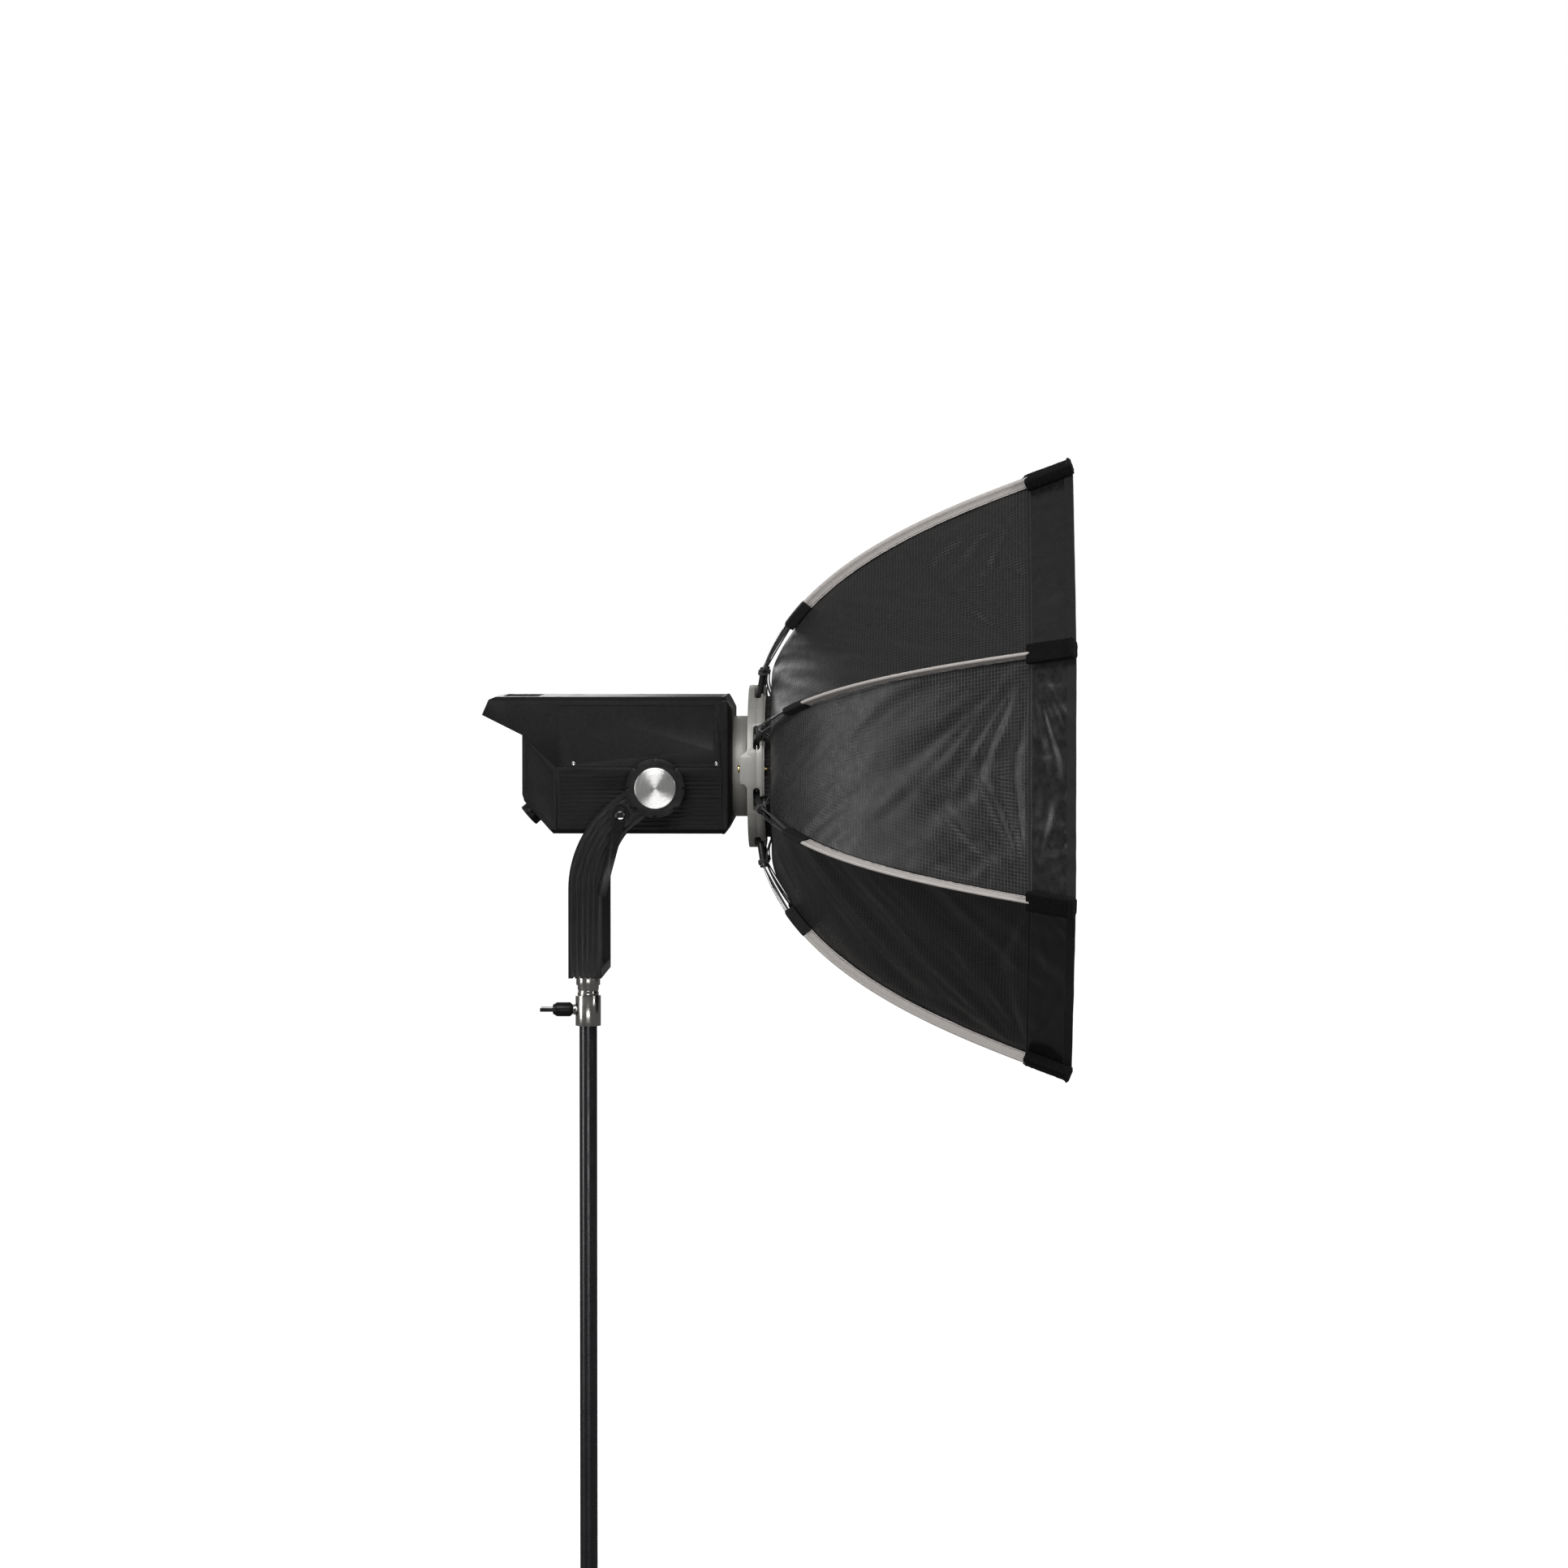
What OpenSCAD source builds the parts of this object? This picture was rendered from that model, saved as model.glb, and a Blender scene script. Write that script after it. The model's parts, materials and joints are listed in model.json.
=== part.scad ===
// Studio softbox light: a folding eight-rib softbox on a lamp head, carried by a tilting
// yoke on the top tube of a light stand. Millimetres. +X is the way the light shines, +Z is up.
// The origin is the centre of the stand tube's lower end.

/* [Stand] */
// Outer diameter of the stand's top tube
riser_d = 26; // [24:0.5:30]
// Wall of the stand's top tube
riser_wall = 2; // [1.5:0.25:3]
// Length of the stand's top tube below the receiver
riser_len = 830; // [500:10:900]
// Outer diameter of the receiver on top of the tube
receiver_d = 37; // [36:0.5:44]
// Height of the receiver
receiver_h = 44; // [40:1:60]
// Diameter of the yoke's pin in the receiver
pin_d = 28; // [26:0.5:30]
// Diameter of the clamp screw
screw_d = 8; // [6:1:10]

/* [Yoke] */
// Width of the yoke's bar
arm_w = 47.5; // [44:0.5:56]
// Thickness of the yoke's bar
arm_t = 13; // [10:0.5:16]
// Clear gap between the yoke's arms
yoke_gap = 202; // [196:1:230]
// Radius of the bend in each arm
arm_bend_r = 136; // [120:1:160]
// Angle of the bend in each arm
arm_bend = 52; // [45:1:58]
// Height of the straight foot of each arm
arm_foot = 128.2; // [110:0.1:150]
// Length from the bend to the tilt axis
arm_reach = 63; // [60:1:80]
// Diameter of the tilt hub
hub_d = 48; // [40:1:52]
// Length of the clamp lever
lever_len = 118; // [80:1:130]

/* [Lamp head] */
// Width of the lamp head
head_w = 190; // [184:1:194]
// Height of the lamp head
head_h = 197; // [190:1:220]
// Length of the lamp head, rear face to mount face
head_len = 302; // [290:1:330]
// Wall of the casings
wall = 3; // [2:0.5:4]
// Outer diameter of the mount flange
mount_d = 146; // [142:1:152]
// Length of the mount flange
mount_len = 20; // [16:1:24]
// Inner diameter of the mount flange
mount_bore = 124; // [118:1:128]

/* [Softbox] */
// Distance across the softbox, flat to flat
box_af = 873; // [700:1:1000]
// Depth from the ring's split to the rim
box_depth = 448; // [400:1:520]
// Outer radius of the speed ring
ring_r = 118; // [116:0.5:124]
// Thickness of the rear half of the speed ring
ring_rear = 13.6; // [13:0.2:16]
// Thickness of the front half of the speed ring
ring_front = 11.2; // [10:0.2:14]
// Diameter of the spring steel rods
rod_d = 3; // [2.4:0.1:3.4]
// Diameter of a rod holder
holder_d = 9; // [8.6:0.1:10]
// Thickness of the canopy fabric with its lining
cloth = 0.8; // [0.6:0.1:1.5]

/* [Hidden] */
$fn = 64;

// Clearances
run_gap = 0.05;    // between a shaft and its bore
fit_gap = 0.3;     // between neighbours that move past each other
seat_gap = 0.02;   // between pieces that are seated in each other

lap = 0.05;        // overlap that joins the stretches of one solid

// Stand and yoke heights
z_receiver = riser_len;
z_pin_top = z_receiver + receiver_h;
pin_shoulder_h = 15;            // neck of the pin between receiver and flange
pin_flange_h = 17.7;
z_yoke = z_pin_top + fit_gap + pin_shoulder_h + pin_flange_h;
neck_d = riser_d - 2;           // turned-down top of the tube, inside the receiver
neck_h = 10;
screw_z = z_receiver + 23.6;    // height of the clamp screw
screw_r = screw_d / 2;

// Arms
arm_x = 2.4;                    // how far the arms stand in front of the pin
z_bend = z_yoke + arm_foot;
bend_end = [arm_x + arm_bend_r * (1 - cos(arm_bend)), z_bend + arm_bend_r * sin(arm_bend)];
tilt_x = bend_end[0] + arm_reach * sin(arm_bend);
tilt_z = bend_end[1] + arm_reach * cos(arm_bend);
arm_y0 = yoke_gap / 2;
arm_y1 = arm_y0 + arm_t;
eye_r = hub_d / 2 + 14;
groove_w = 3;
groove_deep = 2.2;
groove_n = 5;
lever_hub_r = 12;
lever_hub_h = 17;
lever_cap_r = 6.8;              // domed screw in the lever's hub
stud_r = 4;

// Lamp head
head_back = 193;                        // rear face behind the tilt axis
axis_rise = 27.7;                       // optical axis above the tilt axis
head_rise = 4.2;                        // middle of the head above the optical axis
head_x0 = tilt_x - head_back;           // rear face
head_x1 = head_x0 + head_len;           // mount face
axis_z = tilt_z + axis_rise;
z_top = axis_z + head_rise + head_h / 2;
z_bot = axis_z + head_rise - head_h / 2;
head_y = head_w / 2;
bezel_len = 14.5;
bezel_x = head_x1 - bezel_len;
split_z = axis_z + 1.8;                 // level of the joint between upper and lower shells
rear_len = 49;                          // length of the rear housing along the bottom
slant_x = 44.5;                         // slanted lower rear corner, along X
slant_z = 50;                           // and along Z
slant_angle = atan2(slant_z - 3, slant_x - 3);
top_bevel = 6;
low_bevel = 6;
handle_back = 58;                       // how far the handle reaches behind the rear face
handle_low = 55;                        // height of the handle's root below the top
handle_wide = 120;                      // width of the hand opening
rib_pitch = 6.2;
rib_deep = 0.8;
screw_head_r = 2.6;
screw_r_small = 1.5;
screw_rise = 5;                         // casing screws above the shells' joint
screw_xs = [head_x0 + rear_len + 25, bezel_x - 8];
hub_r = hub_d / 2;
hub_seat_r = hub_r - 4;                 // part of the hub inside the casing
cap_r = 29.8;                           // bright cap on the hub
notch_ring_r = 42.5;                    // black ring round the cap
notch_ring_t = 8;
hub_in = 12;                            // how far the hub reaches into the head

// Softbox
ring_gap = 2.5;                         // between the mount flange and the speed ring
ring_x0 = head_x1 + mount_len + ring_gap;
split_x = ring_x0 + ring_rear;          // plane between the two ring halves
ring_x1 = split_x + ring_front;
pivot_r = ring_r - 20;                  // radius of the rod hinges
pivot_pin_r = 2;
holder_tilt = 8.7;                      // lean of an open rod holder from straight out
holder_len = 57.5;
rim_x = split_x + box_depth;
rib_r = box_af / 2 / cos(22.5);         // radius of the rods at the rim
rod_lead = 190;                         // pull of the rod's curve at the holder
rod_trail = 150;                        // and at the rim
rod_lead_angle = 18;                    // direction at the holder, from straight out
rod_trail_angle = 22;                   // direction at the rim, from the optical axis
rod_start = [split_x + holder_len * sin(holder_tilt), pivot_r + holder_len * cos(holder_tilt)];
rod_end = [rim_x - 3, rib_r];
rod_ctrl_1 = rod_start + rod_lead * [sin(rod_lead_angle), cos(rod_lead_angle)];
rod_ctrl_2 = rod_end - rod_trail * [cos(rod_trail_angle), sin(rod_trail_angle)];
rod_seat = 12;                          // length of rod inside its holder
cloth_drop = 13;                        // canopy below the rod's centre line
hem_x = ring_x1 + 8;                    // rear edge of the canopy
hem_r = ring_r - 10;
rear_t = 0.17;                          // where on the rod the canopy meets it
cap_t = [0.135, 0.215];                 // stretch of rod in the rear cap
sleeve_t = [0.218, 0.862];              // stretch of rod in the grey sleeve
strap_t = [0.866, 1];                   // stretch of rod in the front strap
diffuser_back = 60;                     // diffuser behind the rim
diffuser_gap = 3;                       // room round the diffuser's corners
slot_half = 19;                         // half length of a ring window
slot_w = 10;
notch_half = 6.3;                       // half width of a holder's notch

// ---------- helpers ----------

// Points a 2-D outline drawn as (Y, Z) along X
module along_x(x0, x1) {
    translate([x0, 0, 0]) rotate([90, 0, 90]) linear_extrude(x1 - x0) children();
}

// Points a 2-D outline drawn as (X, Z) along Y
module along_y(y0, y1) {
    translate([0, y1, 0]) rotate([90, 0, 0]) linear_extrude(y1 - y0) children();
}

module cyl_x(r, x0, x1) {
    translate([x0, 0, 0]) rotate([0, 90, 0]) cylinder(r = r, h = x1 - x0);
}

module cyl_y(r, y0, y1) {
    translate([0, y0, 0]) rotate([-90, 0, 0]) cylinder(r = r, h = y1 - y0);
}

module tube_x(r_out, r_in, x0, x1) {
    difference() {
        cyl_x(r_out, x0, x1);
        cyl_x(r_in, x0 - 1, x1 + 1);
    }
}

// Rectangle with cut corners, drawn as (Y, Z)
module bevel_box(w, z0, z1, low, high) {
    polygon([[-w + low, z0], [w - low, z0], [w, z0 + low], [w, z1 - high],
             [w - high, z1], [-w + high, z1], [-w, z1 - high], [-w, z0 + low]]);
}

// Turns children to each rib's direction round the optical axis; the child is drawn upwards
module at_rib(k) {
    translate([0, 0, axis_z]) rotate([22.5 + 45 * (k - 1), 0, 0]) children();
}

// ---------- stand ----------

module stand_riser() color([0.22, 0.22, 0.23]) {
    difference() {
        union() {
            cylinder(d = riser_d, h = riser_len);
            translate([0, 0, riser_len]) cylinder(d = neck_d, h = neck_h);
        }
        translate([0, 0, -1]) cylinder(d = riser_d - 2 * riser_wall, h = riser_len + neck_h + 2);
    }
}

module riser_plug() color([0.08, 0.08, 0.08]) {
    difference() {
        cylinder(r = riser_d / 2 - riser_wall - seat_gap, h = 16);
        translate([0, 0, -1]) cylinder(r = 5, h = 12);
    }
}

module stand_receiver() color([0.7, 0.7, 0.7]) {
    difference() {
        union() {
            translate([0, 0, z_receiver]) cylinder(d = receiver_d, h = receiver_h);
            translate([-receiver_d / 2 - 3, 0, screw_z]) rotate([0, 90, 0]) cylinder(r = 8, h = 8);
        }
        translate([0, 0, z_receiver - 1]) cylinder(r = neck_d / 2 + seat_gap, h = neck_h + 1);
        translate([0, 0, z_receiver + neck_h - 0.01])
            cylinder(r = pin_d / 2 + run_gap, h = receiver_h);
        translate([-receiver_d, 0, screw_z]) rotate([0, 90, 0])
            cylinder(r = screw_r + run_gap, h = receiver_d);
    }
}

screw_tip = -pin_d / 2 - fit_gap;       // the slackened screw stands just off the pin
knob_x = -receiver_d / 2 - 8;

module clamp_screw() color([0.7, 0.7, 0.7]) {
    translate([0, 0, screw_z]) cyl_x(screw_r, knob_x - 14, screw_tip);
}

module clamp_knob() color([0.05, 0.05, 0.05]) {
    translate([0, 0, screw_z]) difference() {
        union() {
            translate([knob_x - 19, 0, 0]) rotate([0, 90, 0]) cylinder(r = 10.5, h = 19);
            translate([knob_x, 0, 0]) rotate([0, 90, 0]) cylinder(r1 = 10.5, r2 = 6.5, h = 4.5);
            translate([knob_x - 25, 0, 0]) rotate([0, 90, 0]) cylinder(r1 = 7, r2 = 10.5, h = 6);
            translate([knob_x - 43, -15, -2.75]) cube([24, 30, 5.5]);
        }
        cyl_x(screw_r + seat_gap, knob_x - 14, knob_x + 6);
    }
}

// ---------- yoke ----------

// The arm's centre line as [x, z, lean]: its foot, the bend in equal steps, then the tilt axis
arm_steps = 16;
arm_line = concat(
    [[arm_x, z_yoke, 0]],
    [for (i = [0:arm_steps]) let (a = arm_bend * i / arm_steps)
        [arm_x + arm_bend_r * (1 - cos(a)), z_bend + arm_bend_r * sin(a), a]],
    [[tilt_x, tilt_z, arm_bend]]);

// A bar that follows the arm's line, between two offsets across it and two depths along Y
module arm_band(o0, o1, y0, y1) {
    function edge(o) = [for (p = arm_line) [p[0] + o * cos(p[2]), p[1] - o * sin(p[2])]];
    far = edge(o1);
    along_y(y0, y1) polygon(concat(edge(o0), [for (i = [len(far) - 1:-1:0]) far[i]]));
}

module arm(side) {
    groove_pitch = arm_w / (groove_n + 1);
    y_in = side > 0 ? arm_y0 : -arm_y1;
    y_out = side > 0 ? arm_y1 : -arm_y0;
    y_face = side > 0 ? arm_y1 - groove_deep : -arm_y1 - 1;
    difference() {
        union() {
            arm_band(-arm_w / 2, arm_w / 2, y_in, y_out);
            translate([tilt_x, 0, tilt_z]) cyl_y(eye_r, y_in, y_out);
        }
        difference() {
            for (i = [1:groove_n])
                arm_band(-arm_w / 2 + i * groove_pitch - groove_w / 2,
                         -arm_w / 2 + i * groove_pitch + groove_w / 2,
                         y_face, y_face + groove_deep + 1);
            translate([tilt_x, 0, tilt_z]) cyl_y(eye_r, y_face - 1, y_face + groove_deep + 2);
            translate([bend_end[0], 0, bend_end[1]])
                cyl_y(lever_hub_r + 6, y_face - 1, y_face + groove_deep + 2);
        }
        translate([tilt_x, 0, tilt_z]) cyl_y(hub_r + run_gap, y_in - 1, y_out + 1);
    }
}

module yoke_frame() color([0.1, 0.1, 0.1]) {
    groove_pitch = arm_w / (groove_n + 1);
    difference() {
        union() {
            arm(1);
            arm(-1);
            translate([arm_x - arm_w / 2, -arm_y1, z_yoke]) cube([arm_w, 2 * arm_y1, arm_t]);
        }
        for (i = [1:groove_n])
            translate([arm_x - arm_w / 2 + i * groove_pitch - groove_w / 2, -arm_y1 - 1, z_yoke - 1])
                difference() {
                    cube([groove_w, 2 * arm_y1 + 2, groove_deep + 1]);
                    translate([-groove_pitch, arm_y1 + 1 - receiver_d / 2, -1])
                        cube([2 * groove_pitch, receiver_d, groove_deep + 3]);
                }
        translate([0, 0, z_yoke - 1]) cylinder(r = stem_r + seat_gap, h = arm_t + 2);
        translate([bend_end[0], -arm_y1 - 1, bend_end[1]]) rotate([-90, 0, 0])
            cylinder(r = stud_r + run_gap, h = arm_t + 2);
    }
}

stem_r = 8;             // pin's stem through the yoke's bar
nut_r = 14;
nut_h = 5;

// The pin turns in the receiver; its stem runs up through the collar and the yoke's bar to a nut
module yoke_pin() color([0.7, 0.7, 0.7]) {
    translate([0, 0, z_receiver + neck_h + 2]) cylinder(d = pin_d, h = receiver_h - neck_h - 2 + fit_gap);
    translate([0, 0, z_pin_top]) cylinder(r = stem_r, h = z_yoke + arm_t + 1 - z_pin_top);
    translate([0, 0, z_yoke + arm_t]) cylinder(r = nut_r, h = nut_h);
}

module yoke_collar() color([0.7, 0.7, 0.7]) {
    collar_z = z_pin_top + fit_gap + seat_gap;
    difference() {
        union() {
            translate([0, 0, collar_z]) cylinder(d = 31, h = pin_shoulder_h);
            translate([0, 0, z_yoke - pin_flange_h]) cylinder(d = 35, h = pin_flange_h - seat_gap);
        }
        translate([0, 0, collar_z + 5]) difference() {
            cylinder(r = 20, h = 3);
            translate([0, 0, -1]) cylinder(r = 14.7, h = 5);
        }
        translate([0, 0, collar_z - 1]) cylinder(r = stem_r + seat_gap, h = z_yoke - collar_z + 2);
    }
}

lever_y = -arm_y1;
lever_turn = 13.8;      // lean of the lever from straight down

module lever_stud() color([0.6, 0.6, 0.6]) {
    translate([bend_end[0], 0, bend_end[1]]) {
        cyl_y(stud_r, lever_y - lever_hub_h - 1, -arm_y0 + 3);
        cyl_y(7, -arm_y0 + fit_gap, -arm_y0 + 3);
        cyl_y(lever_hub_r - 5, lever_y - 4, lever_y - fit_gap);
        cyl_y(lever_cap_r, lever_y - lever_hub_h - 3.8, lever_y - lever_hub_h - 0.8);
    }
}

module lever_handle() color([0.04, 0.04, 0.04]) {
    y0 = lever_y - lever_hub_h;
    translate([bend_end[0], 0, bend_end[1]]) rotate([0, lever_turn, 0]) difference() {
        union() {
            cyl_y(lever_hub_r, y0, lever_y - 4 - fit_gap);
            along_y(y0 - 3, y0 + 6)
                polygon([[-9, 0], [9, 0], [6.5, -lever_len], [-6.5, -lever_len]]);
        }
        cyl_y(stud_r + run_gap, y0 + 1, lever_y);
        cyl_y(lever_cap_r + 0.6, y0 - 4, y0 + 2.2);
    }
}

// ---------- lamp head ----------

module head_solid(x0, x1, inset) {
    along_x(x0, x1)
        bevel_box(head_y - inset, z_bot + inset, z_top - inset, low_bevel, top_bevel);
}

// Side outline of the upper shell, with the handle, drawn as (X, Z)
module upper_side() {
    polygon([
        [head_x0 - 39, z_top], [head_x0 - 48.5, z_top - 4], [head_x0 - handle_back, z_top - 26],
        [head_x0, z_top - handle_low], [head_x0 + rear_len, split_z], [bezel_x, split_z], [bezel_x, z_top]]);
}

// Side outline of the rear housing, drawn as (X, Z)
module rear_side() {
    polygon([
        [head_x0, z_top - handle_low - fit_gap], [head_x0, z_bot + slant_z + 7],
        [head_x0 + 3, z_bot + slant_z - 3], [head_x0 + slant_x, z_bot],
        [head_x0 + rear_len, z_bot], [head_x0 + rear_len, split_z - fit_gap]]);
}

module hub_bores() {
    for (s = [-1, 1])
        translate([tilt_x, 0, tilt_z]) cyl_y(hub_seat_r + seat_gap, s * head_y - 14, s * head_y + 14);
}

// Cut for the hand behind the body, drawn as (X, Z)
module hand_cut() {
    polygon([
        [head_x0 - 28, z_top + 10], [head_x0 + 26, z_top + 10], [head_x0 + 20, z_top - 4],
        [head_x0 - 1, z_top - handle_low + 6], [head_x0 - 2, z_top - handle_low - 10],
        [head_x0 - 40, z_top - handle_low - 10], [head_x0 - 38, z_top - 26]]);
}

// Solid kept behind the hollow of the upper shell, drawn as (X, Z)
module hand_wall() {
    polygon([
        [head_x0 - handle_back - 2, z_top + 10], [head_x0 + 26 + wall, z_top + 10],
        [head_x0 + 20 + wall, z_top - 4], [head_x0 + wall, z_top - handle_low + 6],
        [head_x0 + wall, z_bot], [head_x0 - handle_back - 2, z_bot]]);
}

// A face outline let into each side of the head to a given depth, drawn as (X, Z)
module side_inset(deep) {
    along_y(head_y - deep, head_y + 1) children();
    along_y(-head_y - 1, -head_y + deep) children();
}

module upper_shell() color([0.07, 0.07, 0.075]) {
    difference() {
        intersection() {
            along_x(head_x0 - handle_back - 2, bezel_x) bevel_box(head_y, split_z, z_top, 0, top_bevel);
            along_y(-head_y, head_y) upper_side();
        }
        difference() {
            head_solid(head_x0, bezel_x + 1, wall);
            along_y(-head_y, head_y) hand_wall();
        }
        along_y(-handle_wide / 2, handle_wide / 2) hand_cut();
        hub_bores();
        side_inset(1.2)
            polygon([[head_x0 + 52, z_top - 12], [bezel_x - 10, z_top - 12], [bezel_x - 10, split_z + 29],
                     [bezel_x - 14, split_z + 25], [bezel_x - 18, split_z + 25]]);
        screw_seats();
    }
}

module lower_shell() color([0.06, 0.06, 0.06]) {
    rows = floor((split_z - z_bot - 16) / rib_pitch);
    difference() {
        intersection() {
            head_solid(head_x0 + rear_len + fit_gap, bezel_x, 0);
            translate([head_x0, -head_y - 1, z_bot - 1])
                cube([head_len, head_w + 2, split_z - z_bot + 1 - fit_gap]);
        }
        head_solid(head_x0, bezel_x + 1, wall);
        hub_bores();
        for (s = [-1, 1], i = [0:rows - 1])
            translate([head_x0 + rear_len + 6, s * head_y - rib_deep, z_bot + 12 + i * rib_pitch])
                cube([bezel_x - head_x0 - rear_len - 8, 2 * rib_deep, 1.4]);
        for (i = [0:11])
            translate([head_x0 + rear_len + 20 + i * 12, -60, z_bot - 1]) cube([5, 120, wall + 2]);
    }
}

module rear_housing() color([0.07, 0.07, 0.07]) {
    difference() {
        intersection() {
            head_solid(head_x0, head_x0 + rear_len, 0);
            along_y(-head_y, head_y) rear_side();
        }
        difference() {
            head_solid(head_x0 + wall, head_x0 + rear_len + 1, wall);
            along_y(-head_y, head_y)
                polygon([[head_x0 - 1, z_bot + slant_z + 12], [head_x0 + wall, z_bot + slant_z + 7],
                         [head_x0 + wall + 3, z_bot + slant_z], [head_x0 + slant_x + wall, z_bot - 1],
                         [head_x0 - 1, z_bot - 1]]);
        }
        side_inset(1.6)
            polygon([[head_x0 + 6, z_top - handle_low - 8], [head_x0 + 5, z_bot + slant_z + 12],
                     [head_x0 + rear_len - 9, z_bot + 16], [head_x0 + rear_len - 5, z_bot + 20],
                     [head_x0 + rear_len - 5, split_z - 6], [head_x0 + rear_len - 10, split_z - 2]]);
        translate([head_x0 - 1, -panel_w / 2 - seat_gap, panel_z0 - seat_gap])
            cube([panel_t + 1, panel_w + 2 * seat_gap, panel_h + 2 * seat_gap]);
        translate([head_x0 - 1, -panel_w / 2 + 6, panel_z0 + 5]) cube([wall + 3, panel_w - 12, panel_h - 10]);
        for (s = [-1, 1]) on_slant(s * dial_y, dial_up)
            translate([0, 0, -12]) cylinder(r = dial_shaft_r + run_gap, h = 20);
        on_slant(0, 0) translate([-inlet_h / 2, -inlet_w / 2, -12]) cube([inlet_h, inlet_w, 20]);
    }
}

panel_w = 150;
panel_h = 72;
panel_z0 = z_top - handle_low - panel_h - 4;
panel_t = 2;
window_w = 90;
window_h = 36;
window_z = panel_z0 + 28;
key_r = 5;
key_pitch = 30;
key_z = panel_z0 + 14;
rocker_y = 60;
rocker_w = 15;
rocker_h = 22;
dial_y = 52;
dial_up = 12;           // dials above the middle of the slanted face
dial_r = 16.5;
dial_h = 11;
dial_shaft_r = 3;
inlet_w = 28;
inlet_h = 20;

// Children stand on the slanted lower rear face, +Z pointing out of it and +X up along it
module on_slant(y, up) {
    translate([head_x0 + (slant_x + 3) / 2, y, z_bot + (slant_z - 3) / 2])
        rotate([0, slant_angle - 180, 0]) translate([up, 0, 0]) children();
}

module rear_panel() color([0.03, 0.03, 0.03]) {
    difference() {
        translate([head_x0, -panel_w / 2, panel_z0]) cube([panel_t - seat_gap, panel_w, panel_h]);
        translate([head_x0 - 1, -window_w / 2 - seat_gap, window_z - seat_gap])
            cube([panel_t - 0.3, window_w + 2 * seat_gap, window_h + 2 * seat_gap]);
        for (i = [-1:1]) translate([head_x0, i * key_pitch, key_z]) cyl_x(key_r + 0.1, -2, panel_t + 2);
        translate([head_x0 - 1, rocker_y - rocker_w / 2, window_z + 4]) cube([panel_t + 2, rocker_w, rocker_h]);
    }
}

module display_window() color([0.02, 0.03, 0.05]) {
    translate([head_x0 - 0.3, -window_w / 2, window_z]) cube([1, window_w, window_h]);
}

module key(i) color([0.25, 0.25, 0.25]) {
    translate([head_x0, i * key_pitch, key_z]) cyl_x(key_r, -2.2, panel_t - 0.2);
}

module power_rocker() color([0.05, 0.05, 0.05]) {
    half = rocker_h / 2 - 1.2;
    side = rocker_w / 2 - fit_gap;
    translate([head_x0 + 1.6, rocker_y, window_z + 4 + rocker_h / 2]) {
        cyl_y(2, -side, side);
        along_y(-side, side)
            polygon([[-1, -half], [-4, -half], [-2.4, 0], [-4, half], [-1, half],
                     [1.4, half - 4], [1.4, 4 - half]]);
    }
}

module dial(s) color([0.06, 0.06, 0.06]) {
    on_slant(s * dial_y, dial_up) {
        translate([0, 0, fit_gap + 1.5]) cylinder(r = dial_r, h = dial_h);
        translate([0, 0, fit_gap]) cylinder(r = dial_r - 3, h = 2);
        translate([0, 0, -8]) cylinder(r = dial_shaft_r, h = 12);
    }
}

module mains_inlet() color([0.05, 0.05, 0.05]) {
    on_slant(0, 0) difference() {
        translate([-inlet_h / 2 + seat_gap, -inlet_w / 2 + seat_gap, -11])
            cube([inlet_h - 2 * seat_gap, inlet_w - 2 * seat_gap, 13]);
        translate([-inlet_h / 2 + 3, -inlet_w / 2 + 3, -8]) difference() {
            cube([inlet_h - 6, inlet_w - 6, 12]);
            for (p = [-6, 0, 6]) translate([inlet_h / 2 - 3, inlet_w / 2 - 3 + p, -1]) cylinder(r = 1.2, h = 9);
        }
    }
}

// Runs a screw from each side; the child is drawn along -Y from the near face
module at_side_screws() {
    for (x = screw_xs, s = [0, 1]) translate([x, 0, split_z + screw_rise]) mirror([0, s, 0])
        translate([0, -head_y, 0]) children();
}

module screw_seats() {
    at_side_screws() {
        cyl_y(screw_head_r + seat_gap, -1, 1.6);
        cyl_y(screw_r_small + seat_gap, -1, 10);
    }
}

module cover_screws() color([0.75, 0.75, 0.75]) {
    at_side_screws() difference() {
        union() {
            cyl_y(screw_head_r, -0.5, 1.6);
            cyl_y(screw_r_small, 0, 9);
        }
        cyl_y(1.2, -1, 0.6);
    }
}

bezel_hole_r = mount_bore / 2 - 2;

module front_bezel() color([0.06, 0.06, 0.06]) {
    chamfer_x = 11;
    chamfer_z = 18;
    difference() {
        intersection() {
            head_solid(bezel_x + seat_gap, head_x1, -0.6);
            along_y(-head_y - 2, head_y + 2)
                polygon([[bezel_x, z_bot - 2], [head_x1 - chamfer_x, z_bot - 2], [head_x1, z_bot + chamfer_z],
                         [head_x1, z_top - chamfer_z], [head_x1 - chamfer_x, z_top + 2], [bezel_x, z_top + 2]]);
            linear_extrude(z_top + 10)
                polygon([[bezel_x, -head_y - 2], [head_x1 - 6, -head_y - 2], [head_x1, -head_y + 10],
                         [head_x1, head_y - 10], [head_x1 - 6, head_y + 2], [bezel_x, head_y + 2]]);
        }
        translate([0, 0, axis_z]) cyl_x(bezel_hole_r, bezel_x - 1, head_x1 + 1);
        head_solid(bezel_x - 1, head_x1 - 8, wall + 6);
    }
}

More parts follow.
